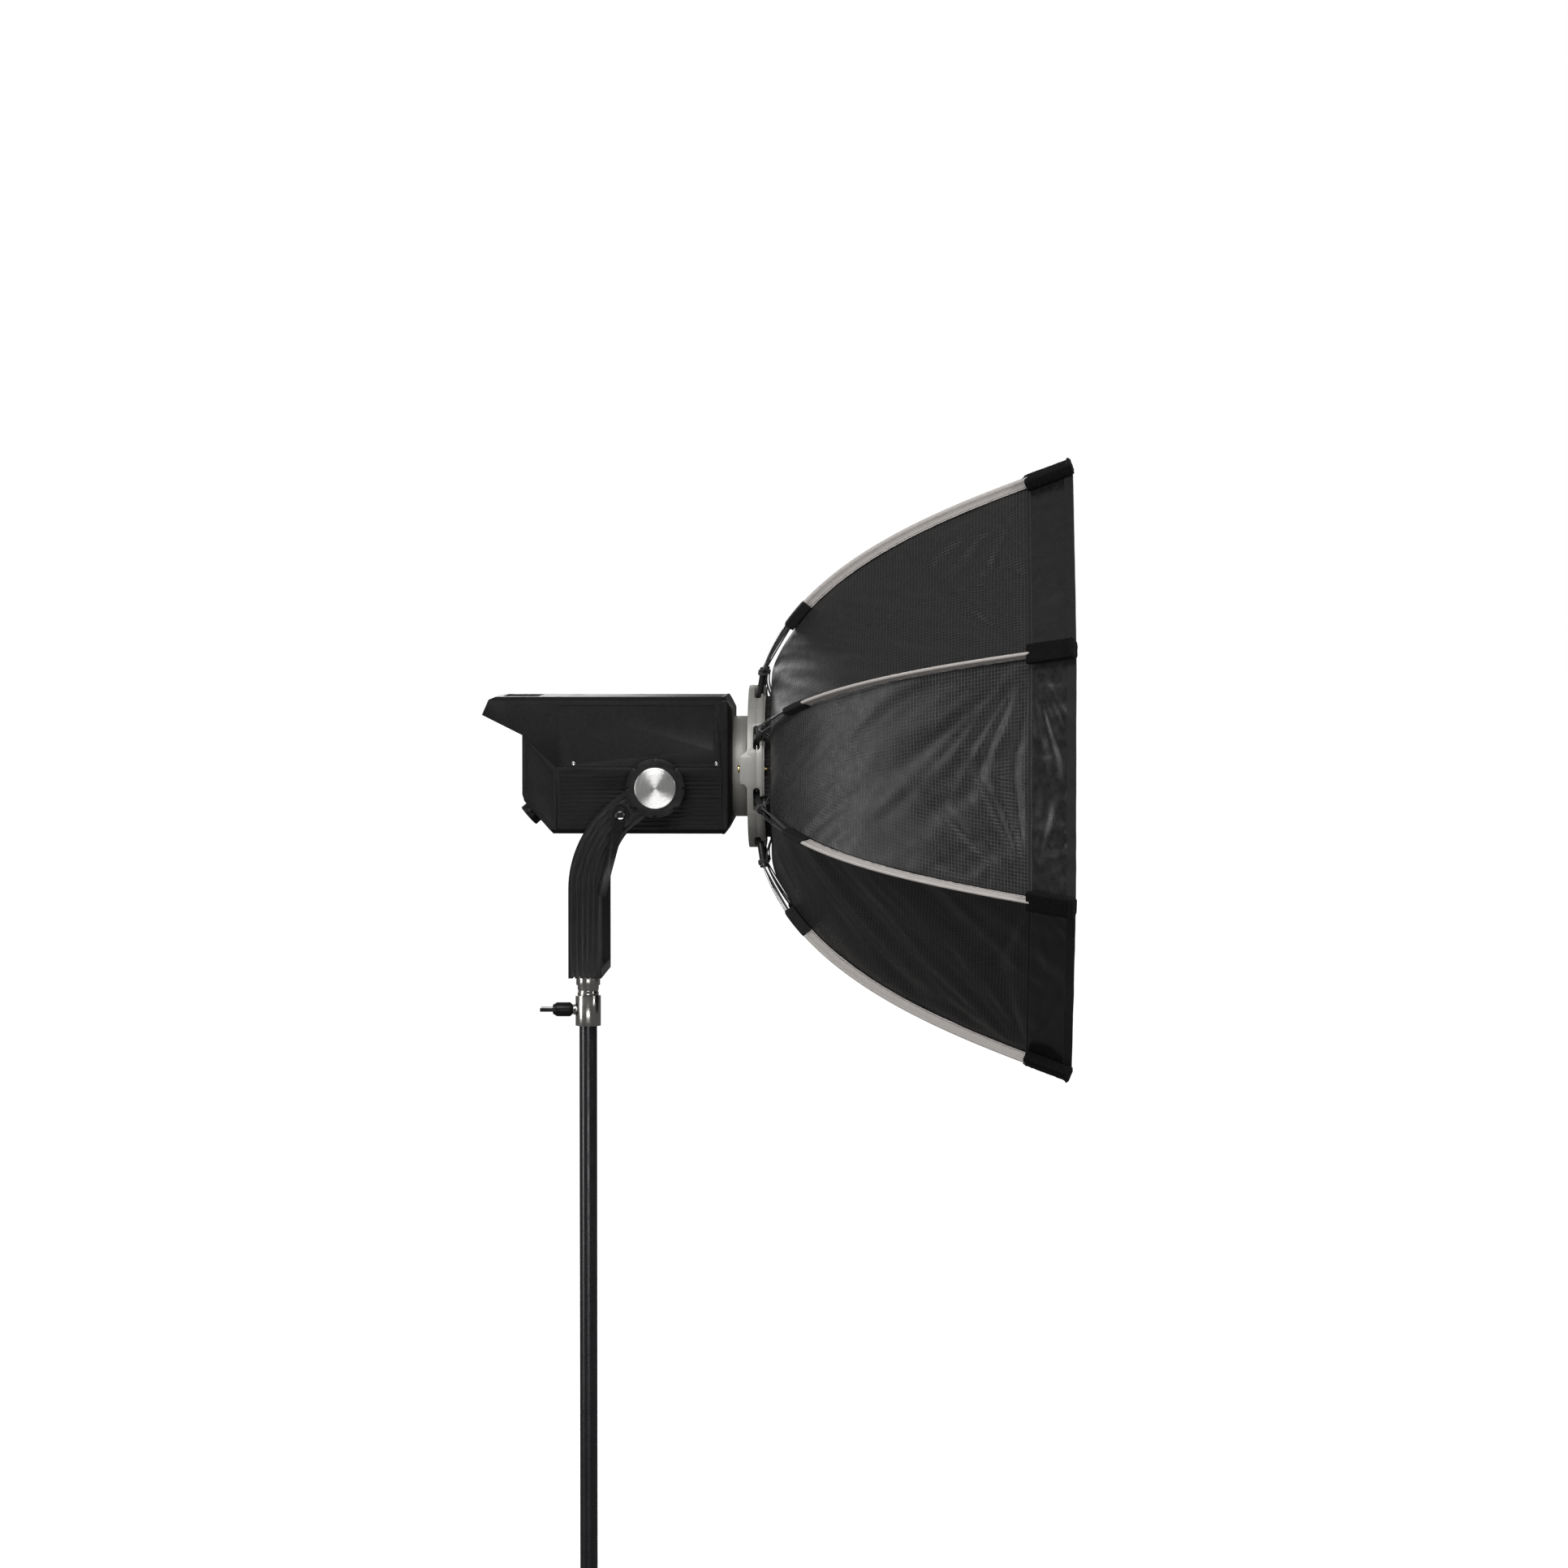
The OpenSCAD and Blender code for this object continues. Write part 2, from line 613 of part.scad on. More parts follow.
module mount_flange() color([0.45, 0.43, 0.4]) {
    lip_r = mount_bore / 2 - 6;
    translate([0, 0, axis_z]) difference() {
        cyl_x(mount_d / 2, head_x1, head_x1 + mount_len);
        cyl_x(mount_bore / 2, head_x1 - 1, head_x1 + mount_len - 4);
        cyl_x(lip_r, head_x1 - 1, head_x1 + mount_len + 1);
        for (a = [0, 120, 240]) rotate([a, 0, 0]) intersection() {
            cyl_x(mount_bore / 2 + fit_gap, head_x1 + mount_len - 5, head_x1 + mount_len + 1);
            translate([head_x1, -22, 0]) cube([mount_len + 2, 44, mount_bore]);
        }
    }
}

module hub_rings() color([0.04, 0.04, 0.04]) {
    for (s = [-1, 1]) translate([tilt_x, 0, tilt_z]) mirror([0, s > 0 ? 1 : 0, 0]) difference() {
        union() {
            cyl_y(hub_r, -arm_y1 - fit_gap, -head_y - seat_gap);
            cyl_y(notch_ring_r, -arm_y1 - fit_gap - notch_ring_t, -arm_y1 - fit_gap);
            cyl_y(hub_seat_r, -head_y - 1, -head_y + hub_in);
        }
        for (a = [0:45:315]) rotate([0, a, 0])
            translate([notch_ring_r - 4, -arm_y1 - notch_ring_t - 2, -2.6]) cube([6, notch_ring_t - 2, 5.2]);
        cyl_y(cap_r + seat_gap, -arm_y1 - 20, -arm_y1 - fit_gap - notch_ring_t + 5);
        cyl_y(5, -arm_y1 - 20, -head_y + hub_in + 1);
    }
}

module hub_caps() color([0.8, 0.8, 0.8]) {
    y_seat = -arm_y1 - fit_gap - notch_ring_t + 5;
    for (s = [-1, 1]) translate([tilt_x, 0, tilt_z]) mirror([0, s > 0 ? 1 : 0, 0]) {
        cyl_y(cap_r, y_seat - 6.4, y_seat);
        translate([0, y_seat - 7.2, 0]) rotate([-90, 0, 0]) cylinder(r1 = cap_r - 0.8, r2 = cap_r, h = 0.8);
    }
}

sink_x0 = tilt_x - 20;
lamp_x = head_x1 - 42;

module heat_sink() color([0.6, 0.6, 0.6]) {
    translate([lamp_x - 8, -60, axis_z - 60]) cube([8, 120, 120]);
    for (i = [0:12])
        translate([sink_x0, -60 + i * 9.8, axis_z - 60]) cube([lamp_x - 7 - sink_x0, 2.4, 120]);
}

module lamp_module() color([0.9, 0.8, 0.4]) {
    translate([lamp_x, -25, axis_z - 25]) cube([3, 50, 50]);
    translate([0, 0, axis_z]) cyl_x(17, lamp_x + 3, lamp_x + 4.2);
}

module lamp_glass() color([0.85, 0.9, 0.9, 0.4]) {
    translate([lamp_x + 5, 0, axis_z]) difference() {
        union() {
            cyl_x(44, 0, 3);
            difference() {
                sphere(r = 36);
                translate([-80, -40, -40]) cube([80, 80, 80]);
            }
        }
        difference() {
            sphere(r = 33.5);
            translate([-81, -40, -40]) cube([80, 80, 80]);
        }
        cyl_x(33.4, -2, 1);
    }
}

fan_x0 = sink_x0 - 30;
fan_r = 54;

module fan_frame() color([0.05, 0.05, 0.05]) {
    difference() {
        translate([fan_x0, -60, axis_z - 60]) cube([25, 120, 120]);
        translate([0, 0, axis_z]) cyl_x(fan_r + 2, fan_x0 + 3, fan_x0 + 26);
        translate([0, 0, axis_z]) difference() {
            cyl_x(fan_r, fan_x0 - 1, fan_x0 + 4);
            cyl_x(18, fan_x0 - 2, fan_x0 + 5);
            for (a = [45:90:315]) rotate([a, 0, 0]) translate([fan_x0 - 2, -3, 0]) cube([7, 6, 60]);
        }
        translate([0, 0, axis_z]) cyl_x(2 + run_gap, fan_x0 - 1, fan_x0 + 4);
    }
}

module fan_rotor() color([0.1, 0.1, 0.1]) {
    blade_n = 7;
    translate([0, 0, axis_z]) {
        cyl_x(18, fan_x0 + 4, fan_x0 + 22);
        cyl_x(2, fan_x0 + 0.5, fan_x0 + 5);
        for (a = [0:360 / blade_n:359]) rotate([a, 0, 0])
            translate([fan_x0 + 13, 0, 16]) rotate([0, 0, 38]) translate([-9, -1, 0]) cube([18, 2, fan_r - 17]);
    }
}

module power_board() color([0.1, 0.35, 0.2]) {
    board_x = head_x0 + rear_len + 4;
    translate([board_x, -70, z_bot + 9]) cube([fan_x0 - 8 - board_x, 140, 1.6]);
    for (i = [0:2]) translate([board_x + 14, -40 + i * 40, z_bot + 10.6]) cylinder(r = 9, h = 26);
    translate([board_x + 32, -50, z_bot + 10.6]) cube([22, 100, 20]);
}

// ---------- speed ring ----------

adapter_r = mount_bore / 2 - 6 - fit_gap;
adapter_t = 4;
lug_x = head_x1 + mount_len - 4 - fit_gap;      // front faces of the bayonet lugs
race_r = 84;                                    // flange the speed ring turns on
race_x0 = ring_x0 + 3 + fit_gap;
race_x1 = race_x0 + 5;
ring_bore = 74;
lock_y = -ring_r + 8;                           // locking pin, in the near tab
lock_r = 2.5;
tab_deep = 10;

module adapter_ring() color([0.75, 0.75, 0.75]) {
    translate([0, 0, axis_z]) {
        tube_x(adapter_r, adapter_r - adapter_t, lug_x - 4, race_x1);
        for (a = [60, 180, 300]) rotate([a, 0, 0]) intersection() {
            tube_x(mount_bore / 2 - fit_gap, adapter_r - 1, lug_x - 4, lug_x);
            translate([lug_x - 5, -20, 0]) cube([6, 40, mount_bore]);
        }
        tube_x(race_r, adapter_r - 1, race_x0, race_x1);
    }
}

// What each rib's holder needs: a window across the split, a notch to the front and a pin seat
module rib_cuts(front) {
    for (k = [1:8]) at_rib(k) {
        for (t = [-1, 1]) translate([split_x, t * (slot_half - slot_w / 2), pivot_r - 8])
            cylinder(d = slot_w, h = 40);
        translate([split_x - slot_w / 2, -slot_half + slot_w / 2, pivot_r - 8])
            cube([slot_w, 2 * slot_half - slot_w, 40]);
        if (front) translate([split_x, -notch_half, pivot_r - 8]) cube([ring_front + 2, 2 * notch_half, 40]);
        translate([split_x, 0, pivot_r]) cyl_y(pivot_pin_r + seat_gap, -23, 23);
    }
}

// Tab that holds the locking pin, on the ring's rear face, drawn as (X, Z)
module tab_side() {
    half = 21;
    polygon([[ring_x0 + 1, -half - 6], [ring_x0, -half - 6], [ring_x0 - 4, -half - 1],
             [ring_x0 - tab_deep, -half], [ring_x0 - tab_deep, half], [ring_x0 - 4, half + 1],
             [ring_x0, half + 6], [ring_x0 + 1, half + 6]]);
}

module speedring_rear() color([0.6, 0.59, 0.57]) {
    difference() {
        translate([0, 0, axis_z]) {
            tube_x(ring_r, race_r + run_gap, ring_x0, split_x - seat_gap);
            tube_x(race_r + 2, 66, ring_x0, ring_x0 + 3);
            for (a = [0, 180]) rotate([a, 0, 0]) intersection() {
                along_y(-ring_r, -ring_r + 16) tab_side();
                cyl_x(ring_r, ring_x0 - tab_deep - 1, ring_x0 + 1);
            }
        }
        rib_cuts(false);
        translate([0, lock_y, axis_z]) cyl_x(lock_r + run_gap, ring_x0 - tab_deep - 1, split_x);
        screw_places() cyl_x(screw_m + seat_gap, split_x - 9, split_x + 1);
    }
}

module speedring_front() color([0.6, 0.59, 0.57]) {
    difference() {
        translate([0, 0, axis_z]) {
            tube_x(ring_r, ring_bore, split_x + seat_gap, ring_x1 - 3);
            tube_x(ring_r - 2.5, ring_bore, ring_x1 - 3 - lap, ring_x1);
            tube_x(race_r - fit_gap, ring_bore, race_x1 + fit_gap, split_x + 1);
        }
        rib_cuts(true);
        translate([0, lock_y, axis_z]) cyl_x(lock_r + run_gap, split_x - 1, ring_x1 + 1);
        screw_places() {
            cyl_x(screw_m + seat_gap, split_x - 1, ring_x1 + 1);
            cyl_x(2 * screw_m + seat_gap, ring_x1 - 4, ring_x1 + 1);
        }
    }
}

screw_m = 2;            // radius of the ring screws

module screw_places() {
    for (a = [0:90:270]) translate([0, 0, axis_z]) rotate([a, 0, 0]) translate([0, 0, race_r + 7]) children();
}

module ring_screws() color([0.3, 0.3, 0.3]) {
    screw_places() {
        cyl_x(screw_m, split_x - 8, ring_x1 - 3);
        difference() {
            cyl_x(2 * screw_m, ring_x1 - 4, ring_x1 - 0.5);
            cyl_x(1.5, ring_x1 - 2.5, ring_x1 + 1);
        }
    }
}

module hinge_pins() color([0.5, 0.5, 0.5]) {
    for (k = [1:8]) at_rib(k) translate([split_x, 0, pivot_r]) cyl_y(pivot_pin_r, -22.5, 22.5);
}

module lock_pin() color([0.75, 0.62, 0.35]) {
    translate([0, lock_y, axis_z]) {
        cyl_x(lock_r, ring_x0 - tab_deep - 2, ring_x1 + 4);
        cyl_x(5.5, ring_x0 - tab_deep - fit_gap - 3, ring_x0 - tab_deep - fit_gap);
    }
}

// ---------- ribs ----------

// Point of the rod's centre line, as [x, radius], for t from 0 at the holder to 1 at the rim
function rod_at(t) = pow(1 - t, 3) * rod_start + 3 * t * pow(1 - t, 2) * rod_ctrl_1
    + 3 * t * t * (1 - t) * rod_ctrl_2 + pow(t, 3) * rod_end;
function rod_way(t) = pow(1 - t, 2) * (rod_ctrl_1 - rod_start)
    + 2 * t * (1 - t) * (rod_ctrl_2 - rod_ctrl_1) + t * t * (rod_end - rod_ctrl_2);
function unit(v) = v / norm(v);
// The side of the rod that faces the optical axis
function rod_in(t) = [unit(rod_way(t))[1], -unit(rod_way(t))[0]];

// Closed bar with a round hole along it, from matching rings of n points, outside then inside
module ringed_tube(rings, holes) {
    n = len(rings[0]);
    last = len(rings) - 1;
    m = n * (last + 1);
    function at(i, j, base) = base + i * n + j % n;
    polyhedron(concat([for (r = rings) each r], [for (r = holes) each r]), concat(
        [for (i = [0:last - 1], j = [0:n - 1]) each [
            [at(i, j, 0), at(i, j + 1, 0), at(i + 1, j + 1, 0)],
            [at(i, j, 0), at(i + 1, j + 1, 0), at(i + 1, j, 0)],
            [at(i, j, m), at(i + 1, j + 1, m), at(i, j + 1, m)],
            [at(i, j, m), at(i + 1, j, m), at(i + 1, j + 1, m)]]],
        [for (j = [0:n - 1]) each [
            [at(0, j, 0), at(0, j + 1, m), at(0, j + 1, 0)],
            [at(0, j, 0), at(0, j, m), at(0, j + 1, m)],
            [at(last, j, 0), at(last, j + 1, 0), at(last, j + 1, m)],
            [at(last, j, 0), at(last, j + 1, m), at(last, j, m)]]]));
}

// Places a 2-D section, drawn as [across, towards the axis], at t on the rod
function placed(section, t) = let (p = rod_at(t), q = rod_in(t))
    [for (c = section) [p[0] + q[0] * c[1], c[0], p[1] + q[1] * c[1]]];
// Upright bar section with cut corners: half width, outer reach, inner reach, cut
function fin(w, up, down, cut) = [
    [w, down - cut], [w - cut, down], [cut - w, down], [-w, down - cut],
    [-w, cut - up], [cut - w, -up], [w - cut, -up], [w, cut - up]];
function round_hole(r) = [for (j = [0:7]) [r * cos(22.5 + 45 * j), r * sin(22.5 + 45 * j)]];

// Bar along the rod between two stretches of it, with the rod's channel through it
module along_rod(ts, w, up, down, cut, steps) {
    stops = [for (i = [0:steps]) ts[0] + (ts[1] - ts[0]) * i / steps];
    ringed_tube([for (t = stops) placed(fin(w, up, down, cut), t)],
                [for (t = stops) placed(round_hole(rod_d / 2 + 0.4), t)]);
}

// The rod: a sweep of the round wire along its curve, from its seat in the holder
module rod_wire() {
    n = 8;
    steps = 26;
    seat = rod_start - rod_seat * [sin(holder_tilt), cos(holder_tilt)];
    across = [cos(holder_tilt), -sin(holder_tilt)];
    wire = [for (j = [0:n - 1]) rod_d / 2 * [cos(360 * j / n), sin(360 * j / n)]];
    pts = concat(
        [for (c = wire) [seat[0] + across[0] * c[1], c[0], seat[1] + across[1] * c[1]]],
        [for (c = wire) [rod_start[0] + across[0] * c[1], c[0], rod_start[1] + across[1] * c[1]]],
        [for (i = [1:steps]) each placed(wire, i / steps)]);
    last = steps + 1;
    polyhedron(pts, concat(
        [[for (j = [0:n - 1]) n - 1 - j]],
        [for (i = [0:last - 1], j = [0:n - 1]) each [
            [i * n + j, i * n + (j + 1) % n, (i + 1) * n + (j + 1) % n],
            [i * n + j, (i + 1) * n + (j + 1) % n, (i + 1) * n + j]]],
        [[for (j = [0:n - 1]) last * n + j]]));
}

module rod(k) color([0.35, 0.35, 0.36]) at_rib(k) rod_wire();

module rod_holder(k) color([0.16, 0.16, 0.16]) {
    at_rib(k) translate([split_x, 0, pivot_r]) rotate([0, holder_tilt, 0]) difference() {
        union() {
            cylinder(d = holder_d, h = holder_len);
            cyl_y(holder_d / 2, -holder_d / 2, holder_d / 2);
            translate([0, 0, holder_len - 5]) cylinder(d = holder_d + 1.4, h = 5);
        }
        cyl_y(pivot_pin_r + run_gap, -8, 8);
        translate([0, 0, holder_len - rod_seat - 1]) cylinder(r = rod_d / 2 + seat_gap, h = rod_seat + 2);
    }
}

// ---------- soft parts ----------

module rod_sleeves() color([0.6, 0.58, 0.57])
    for (k = [1:8]) at_rib(k) along_rod(sleeve_t, 2.6, 2.6, cloth_drop - 0.6, 0.9, 14);

module rear_caps() color([0.03, 0.03, 0.03])
    for (k = [1:8]) at_rib(k) along_rod(cap_t, 4.4, 3, cloth_drop - 0.4, 1.2, 4);

module front_straps() color([0.03, 0.03, 0.03])
    for (k = [1:8]) at_rib(k) along_rod([strap_t[0], strap_t[1] + 0.004], 14, 3, 9, 2, 4);

// Line of the canopy under a rib: the rear hem, two points in the open stretch, then below the rod
canopy_line = concat(
    [[hem_x, hem_r], [hem_x + 2, hem_r + 42], [hem_x + 15, hem_r + 76]],
    [for (i = [0:14]) let (t = rear_t + (1 - rear_t) * i / 14) rod_at(t) + cloth_drop * rod_in(t)]);

// One gore between two ribs, as a closed sheet of the cloth's thickness
module gore() {
    n = len(canopy_line);
    m = 2 * n;
    way = [for (i = [0:n - 1]) unit(canopy_line[min(i + 1, n - 1)] - canopy_line[max(i - 1, 0)])];
    function corner(i, side, deep) =
        let (p = canopy_line[i] + deep * [way[i][1], -way[i][0]])
        [p[0], p[1] * sin(side * 22.5) - side * 0.1, p[1] * cos(22.5)];
    pts = concat(
        [for (i = [0:n - 1]) each [corner(i, -1, 0), corner(i, 1, 0)]],
        [for (i = [0:n - 1]) each [corner(i, -1, cloth), corner(i, 1, cloth)]]);
    polyhedron(pts, concat(
        [for (i = [0:n - 2]) each [
            [2 * i, 2 * i + 1, 2 * i + 3], [2 * i, 2 * i + 3, 2 * i + 2],
            [m + 2 * i, m + 2 * i + 3, m + 2 * i + 1], [m + 2 * i, m + 2 * i + 2, m + 2 * i + 3],
            [2 * i, m + 2 * i + 2, m + 2 * i], [2 * i, 2 * i + 2, m + 2 * i + 2],
            [2 * i + 1, m + 2 * i + 1, m + 2 * i + 3], [2 * i + 1, m + 2 * i + 3, 2 * i + 3]]],
        [[0, m, m + 1], [0, m + 1, 1]],
        [[m - 2, m - 1, 2 * m - 1], [m - 2, 2 * m - 1, 2 * m - 2]]));
}

module canopy_panels() color([0.05, 0.05, 0.05])
    for (k = [1:8]) translate([0, 0, axis_z]) rotate([45 * k, 0, 0]) gore();

diffuser_x = rim_x - diffuser_back;
// Corner radius of the canopy at the diffuser, found on the rod's curve
diffuser_t = lookup(diffuser_x, [for (i = [0:40]) [rod_at(i / 40)[0], i / 40]]);
diffuser_r = rod_at(diffuser_t)[1] - cloth_drop - cloth - diffuser_gap;

module diffuser() color([0.95, 0.95, 0.95]) {
    translate([diffuser_x, 0, axis_z]) rotate([0, 90, 0]) rotate([0, 0, 22.5])
        cylinder(r = diffuser_r, h = cloth, $fn = 8);
}

// ---------- all nodes ----------

stand_riser();
riser_plug();
stand_receiver();
clamp_screw();
clamp_knob();
yoke_frame();
yoke_pin();
yoke_collar();
lever_stud();
lever_handle();
upper_shell();
lower_shell();
rear_housing();
rear_panel();
display_window();
front_bezel();
mount_flange();
hub_rings();
hub_caps();
cover_screws();
lamp_module();
lamp_glass();
heat_sink();
fan_frame();
fan_rotor();
power_board();
mains_inlet();
power_rocker();
dial(1);  // dial_left
dial(-1);  // dial_right
key(1);  // key_left
key(0);  // key_middle
key(-1);  // key_right
adapter_ring();
speedring_rear();
speedring_front();
ring_screws();
hinge_pins();
lock_pin();
canopy_panels();
rod_sleeves();
rear_caps();
front_straps();
diffuser();
for (k = [1:8]) rod(k);
for (k = [1:8]) rod_holder(k);
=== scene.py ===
# %% [markdown]
# # A studio softbox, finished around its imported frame
# The CAD model gives every dimension, body and joint. These cells add what CAD leaves plain:
# cloth that wrinkles, webbing, stitches, softened edges, and a finish for each material.

# %% Load the frame
import json
import math
import bmesh
import bpy
import numpy as np
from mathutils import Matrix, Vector, noise


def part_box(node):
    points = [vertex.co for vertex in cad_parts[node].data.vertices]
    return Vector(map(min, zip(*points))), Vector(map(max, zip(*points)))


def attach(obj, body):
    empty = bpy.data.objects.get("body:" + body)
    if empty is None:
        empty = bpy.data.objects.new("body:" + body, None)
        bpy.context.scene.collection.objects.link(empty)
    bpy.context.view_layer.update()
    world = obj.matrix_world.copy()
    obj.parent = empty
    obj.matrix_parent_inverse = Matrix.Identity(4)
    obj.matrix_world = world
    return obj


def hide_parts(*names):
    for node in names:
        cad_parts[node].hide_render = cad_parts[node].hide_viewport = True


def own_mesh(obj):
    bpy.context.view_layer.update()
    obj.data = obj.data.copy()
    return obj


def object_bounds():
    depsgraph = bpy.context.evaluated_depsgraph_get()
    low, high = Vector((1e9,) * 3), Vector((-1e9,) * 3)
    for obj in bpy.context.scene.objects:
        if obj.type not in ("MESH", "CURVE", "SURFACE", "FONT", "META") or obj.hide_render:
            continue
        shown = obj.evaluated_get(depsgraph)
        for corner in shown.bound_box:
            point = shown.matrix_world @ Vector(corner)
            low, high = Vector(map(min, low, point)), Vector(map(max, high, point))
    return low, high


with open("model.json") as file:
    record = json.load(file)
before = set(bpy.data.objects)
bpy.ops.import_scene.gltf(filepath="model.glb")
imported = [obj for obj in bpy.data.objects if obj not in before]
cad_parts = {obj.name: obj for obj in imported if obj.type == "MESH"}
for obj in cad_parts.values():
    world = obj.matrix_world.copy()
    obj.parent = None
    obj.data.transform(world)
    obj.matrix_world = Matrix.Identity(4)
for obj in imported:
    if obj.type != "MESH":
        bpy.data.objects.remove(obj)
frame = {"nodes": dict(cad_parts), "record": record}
cad_low, cad_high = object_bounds()
nodes = frame["nodes"]
body_of = {n: b for b, members in frame["record"]["behaviour"]["bodies"].items() for n in members}
print("frame box, metres:", [round(v, 3) for v in (*cad_low, *cad_high)])

# %% [markdown]
# ## Camera, floor and light
# A long lens far away keeps the round rim from spreading, as product pictures do. The floor is
# pale and plain and glows a little, so that it meets the backdrop without a line. Black things are
# lit by what they reflect: a dim room keeps them black, and six soft lamps give the highlights.

# %% Camera
look_at = Vector((0.2856, 0, 1.1827))
distance = 8.26
turn, rise = math.radians(1.7), math.radians(2.4)
away = Vector((math.sin(turn) * math.cos(rise), -math.cos(turn) * math.cos(rise), math.sin(rise)))
lens = bpy.data.cameras.new("long_lens")
lens.sensor_width = 36
lens.lens = 130.4
camera = bpy.data.objects.new("camera", lens)
camera.location = look_at + distance * away
camera.rotation_euler = (-away).to_track_quat("-Z", "Y").to_euler()
bpy.context.collection.objects.link(camera)
bpy.context.scene.camera = camera
print("camera at", [round(v, 3) for v in camera.location])

# %% Small tools for materials
scene = bpy.context.scene
scene.view_settings.view_transform = "Standard"


def new_material(name, colour, rough, metal=0.0, **sockets):
    material = bpy.data.materials.new(name)
    material.use_nodes = True
    surface = material.node_tree.nodes["Principled BSDF"]
    surface.inputs["Base Color"].default_value = (*colour, 1)
    surface.inputs["Roughness"].default_value = rough
    surface.inputs["Metallic"].default_value = metal
    for label, value in sockets.items():
        surface.inputs[label.replace("_", " ")].default_value = value
    material.diffuse_color = (*colour, 1)
    return material


def add_node(material, kind, **values):
    made = material.node_tree.nodes.new(kind)
    for label, value in values.items():
        if hasattr(made, label):
            setattr(made, label, value)
        else:
            made.inputs[label.replace("_", " ")].default_value = value
    return made


def wire(material, source, target):
    material.node_tree.links.new(source, target)


def surface_of(material):
    return material.node_tree.nodes["Principled BSDF"]


def place_of(material, scale=(1, 1, 1), turned=(0, 0, 0), uv=False):
    """Object or UV coordinates in metres, stretched by scale."""
    where = add_node(material, "ShaderNodeTexCoord")
    mapping = add_node(material, "ShaderNodeMapping")
    mapping.inputs["Scale"].default_value = scale
    mapping.inputs["Rotation"].default_value = turned
    wire(material, where.outputs["UV" if uv else "Object"], mapping.inputs["Vector"])
    return mapping.outputs["Vector"]


def grain(material, size, detail=2.0, place=None, roughness=0.5):
    """Noise with features of about size metres."""
    made = add_node(material, "ShaderNodeTexNoise", Scale=1 / size, Detail=detail, Roughness=roughness)
    wire(material, place or place_of(material), made.inputs["Vector"])
    return made.outputs["Fac"]


def raise_by(material, height, depth, strength=1.0):
    """Bump of the surface by height times depth metres, on top of what is there."""
    made = add_node(material, "ShaderNodeBump", Strength=strength, Distance=depth)
    wire(material, height, made.inputs["Height"])
    normal = surface_of(material).inputs["Normal"]
    if normal.is_linked:
        wire(material, normal.links[0].from_socket, made.inputs["Normal"])
    wire(material, made.outputs["Normal"], normal)


def vary(material, socket, fac, low, high):
    """Drives a socket between low and high with a factor from 0 to 1."""
    colour = socket == "Base Color"
    target = surface_of(material).inputs[socket]
    if colour:
        ramp = add_node(material, "ShaderNodeValToRGB")
        ramp.color_ramp.elements[0].position, ramp.color_ramp.elements[1].position = 0.3, 0.7
        ramp.color_ramp.elements[0].color = (*low, 1)
        ramp.color_ramp.elements[1].color = (*high, 1)
        wire(material, fac, ramp.inputs["Fac"])
        wire(material, ramp.outputs["Color"], target)
        return
    spread = add_node(material, "ShaderNodeMapRange")
    spread.inputs["From Min"].default_value, spread.inputs["From Max"].default_value = 0.3, 0.7
    spread.inputs["To Min"].default_value, spread.inputs["To Max"].default_value = low, high
    wire(material, fac, spread.inputs["Value"])
    wire(material, spread.outputs["Result"], target)


# %% Floor, world and lamps
floor_mesh = bpy.data.meshes.new("floor")
reach = 60
floor_mesh.from_pydata([(-reach, -reach, 0), (reach, -reach, 0), (reach, reach, 0), (-reach, reach, 0)],
                       [], [(0, 1, 2, 3)])
floor = bpy.data.objects.new("floor", floor_mesh)
floor.location.z = cad_low.z - 0.001
bpy.context.collection.objects.link(floor)
floor_paint = new_material("pale_floor", (0.9, 0.9, 0.89), 0.7, Emission_Strength=0.9)
surface_of(floor_paint).inputs["Emission Color"].default_value = (1, 1, 1, 1)
vary(floor_paint, "Roughness", grain(floor_paint, 0.3), 0.65, 0.75)
floor_mesh.materials.append(floor_paint)
floor.visible_glossy = floor.visible_diffuse = False

world = bpy.data.worlds.new("white_studio")
world.use_nodes = True
backdrop = world.node_tree.nodes["Background"]
backdrop.inputs["Color"].default_value = (1, 1, 1, 1)
seen = world.node_tree.nodes.new("ShaderNodeLightPath")
level = world.node_tree.nodes.new("ShaderNodeMapRange")
level.inputs["To Min"].default_value, level.inputs["To Max"].default_value = 0.13, 1.0
world.node_tree.links.new(seen.outputs["Is Camera Ray"], level.inputs["Value"])
world.node_tree.links.new(level.outputs["Result"], backdrop.inputs["Strength"])
scene.world = world


def soft_lamp(name, place, size, power):
    lamp = bpy.data.lights.new(name, "AREA")
    lamp.shape, lamp.size, lamp.size_y, lamp.energy = "RECTANGLE", *size, power
    holder = bpy.data.objects.new(name, lamp)
    holder.location = place
    holder.rotation_euler = (look_at - Vector(place)).to_track_quat("-Z", "Y").to_euler()
    bpy.context.collection.objects.link(holder)


# Each lamp's place and size are in metres, and its power in watts
soft_lamp("key_lamp", (-0.4, -3.9, 3.9), (3.2, 0.9), 170)
soft_lamp("low_lamp", (0.2, -3.8, 0.25), (1.6, 0.3), 14)
soft_lamp("fill_lamp", (3.6, -2.2, 2.4), (0.4, 2.0), 70)
soft_lamp("left_strip", (-3.4, -1.4, 1.5), (0.9, 3.0), 70)
soft_lamp("front_lamp", (4.6, 0.9, 2.2), (1.8, 1.8), 60)
soft_lamp("back_lamp", (-1.2, 4.2, 2.6), (2.4, 1.8), 60)
overhead = bpy.data.lights.new("overhead", "SUN")
overhead.energy, overhead.angle = 0.25, math.radians(100)
sky = bpy.data.objects.new("overhead", overhead)
sky.location = (0, 0, 5)
bpy.context.collection.objects.link(sky)

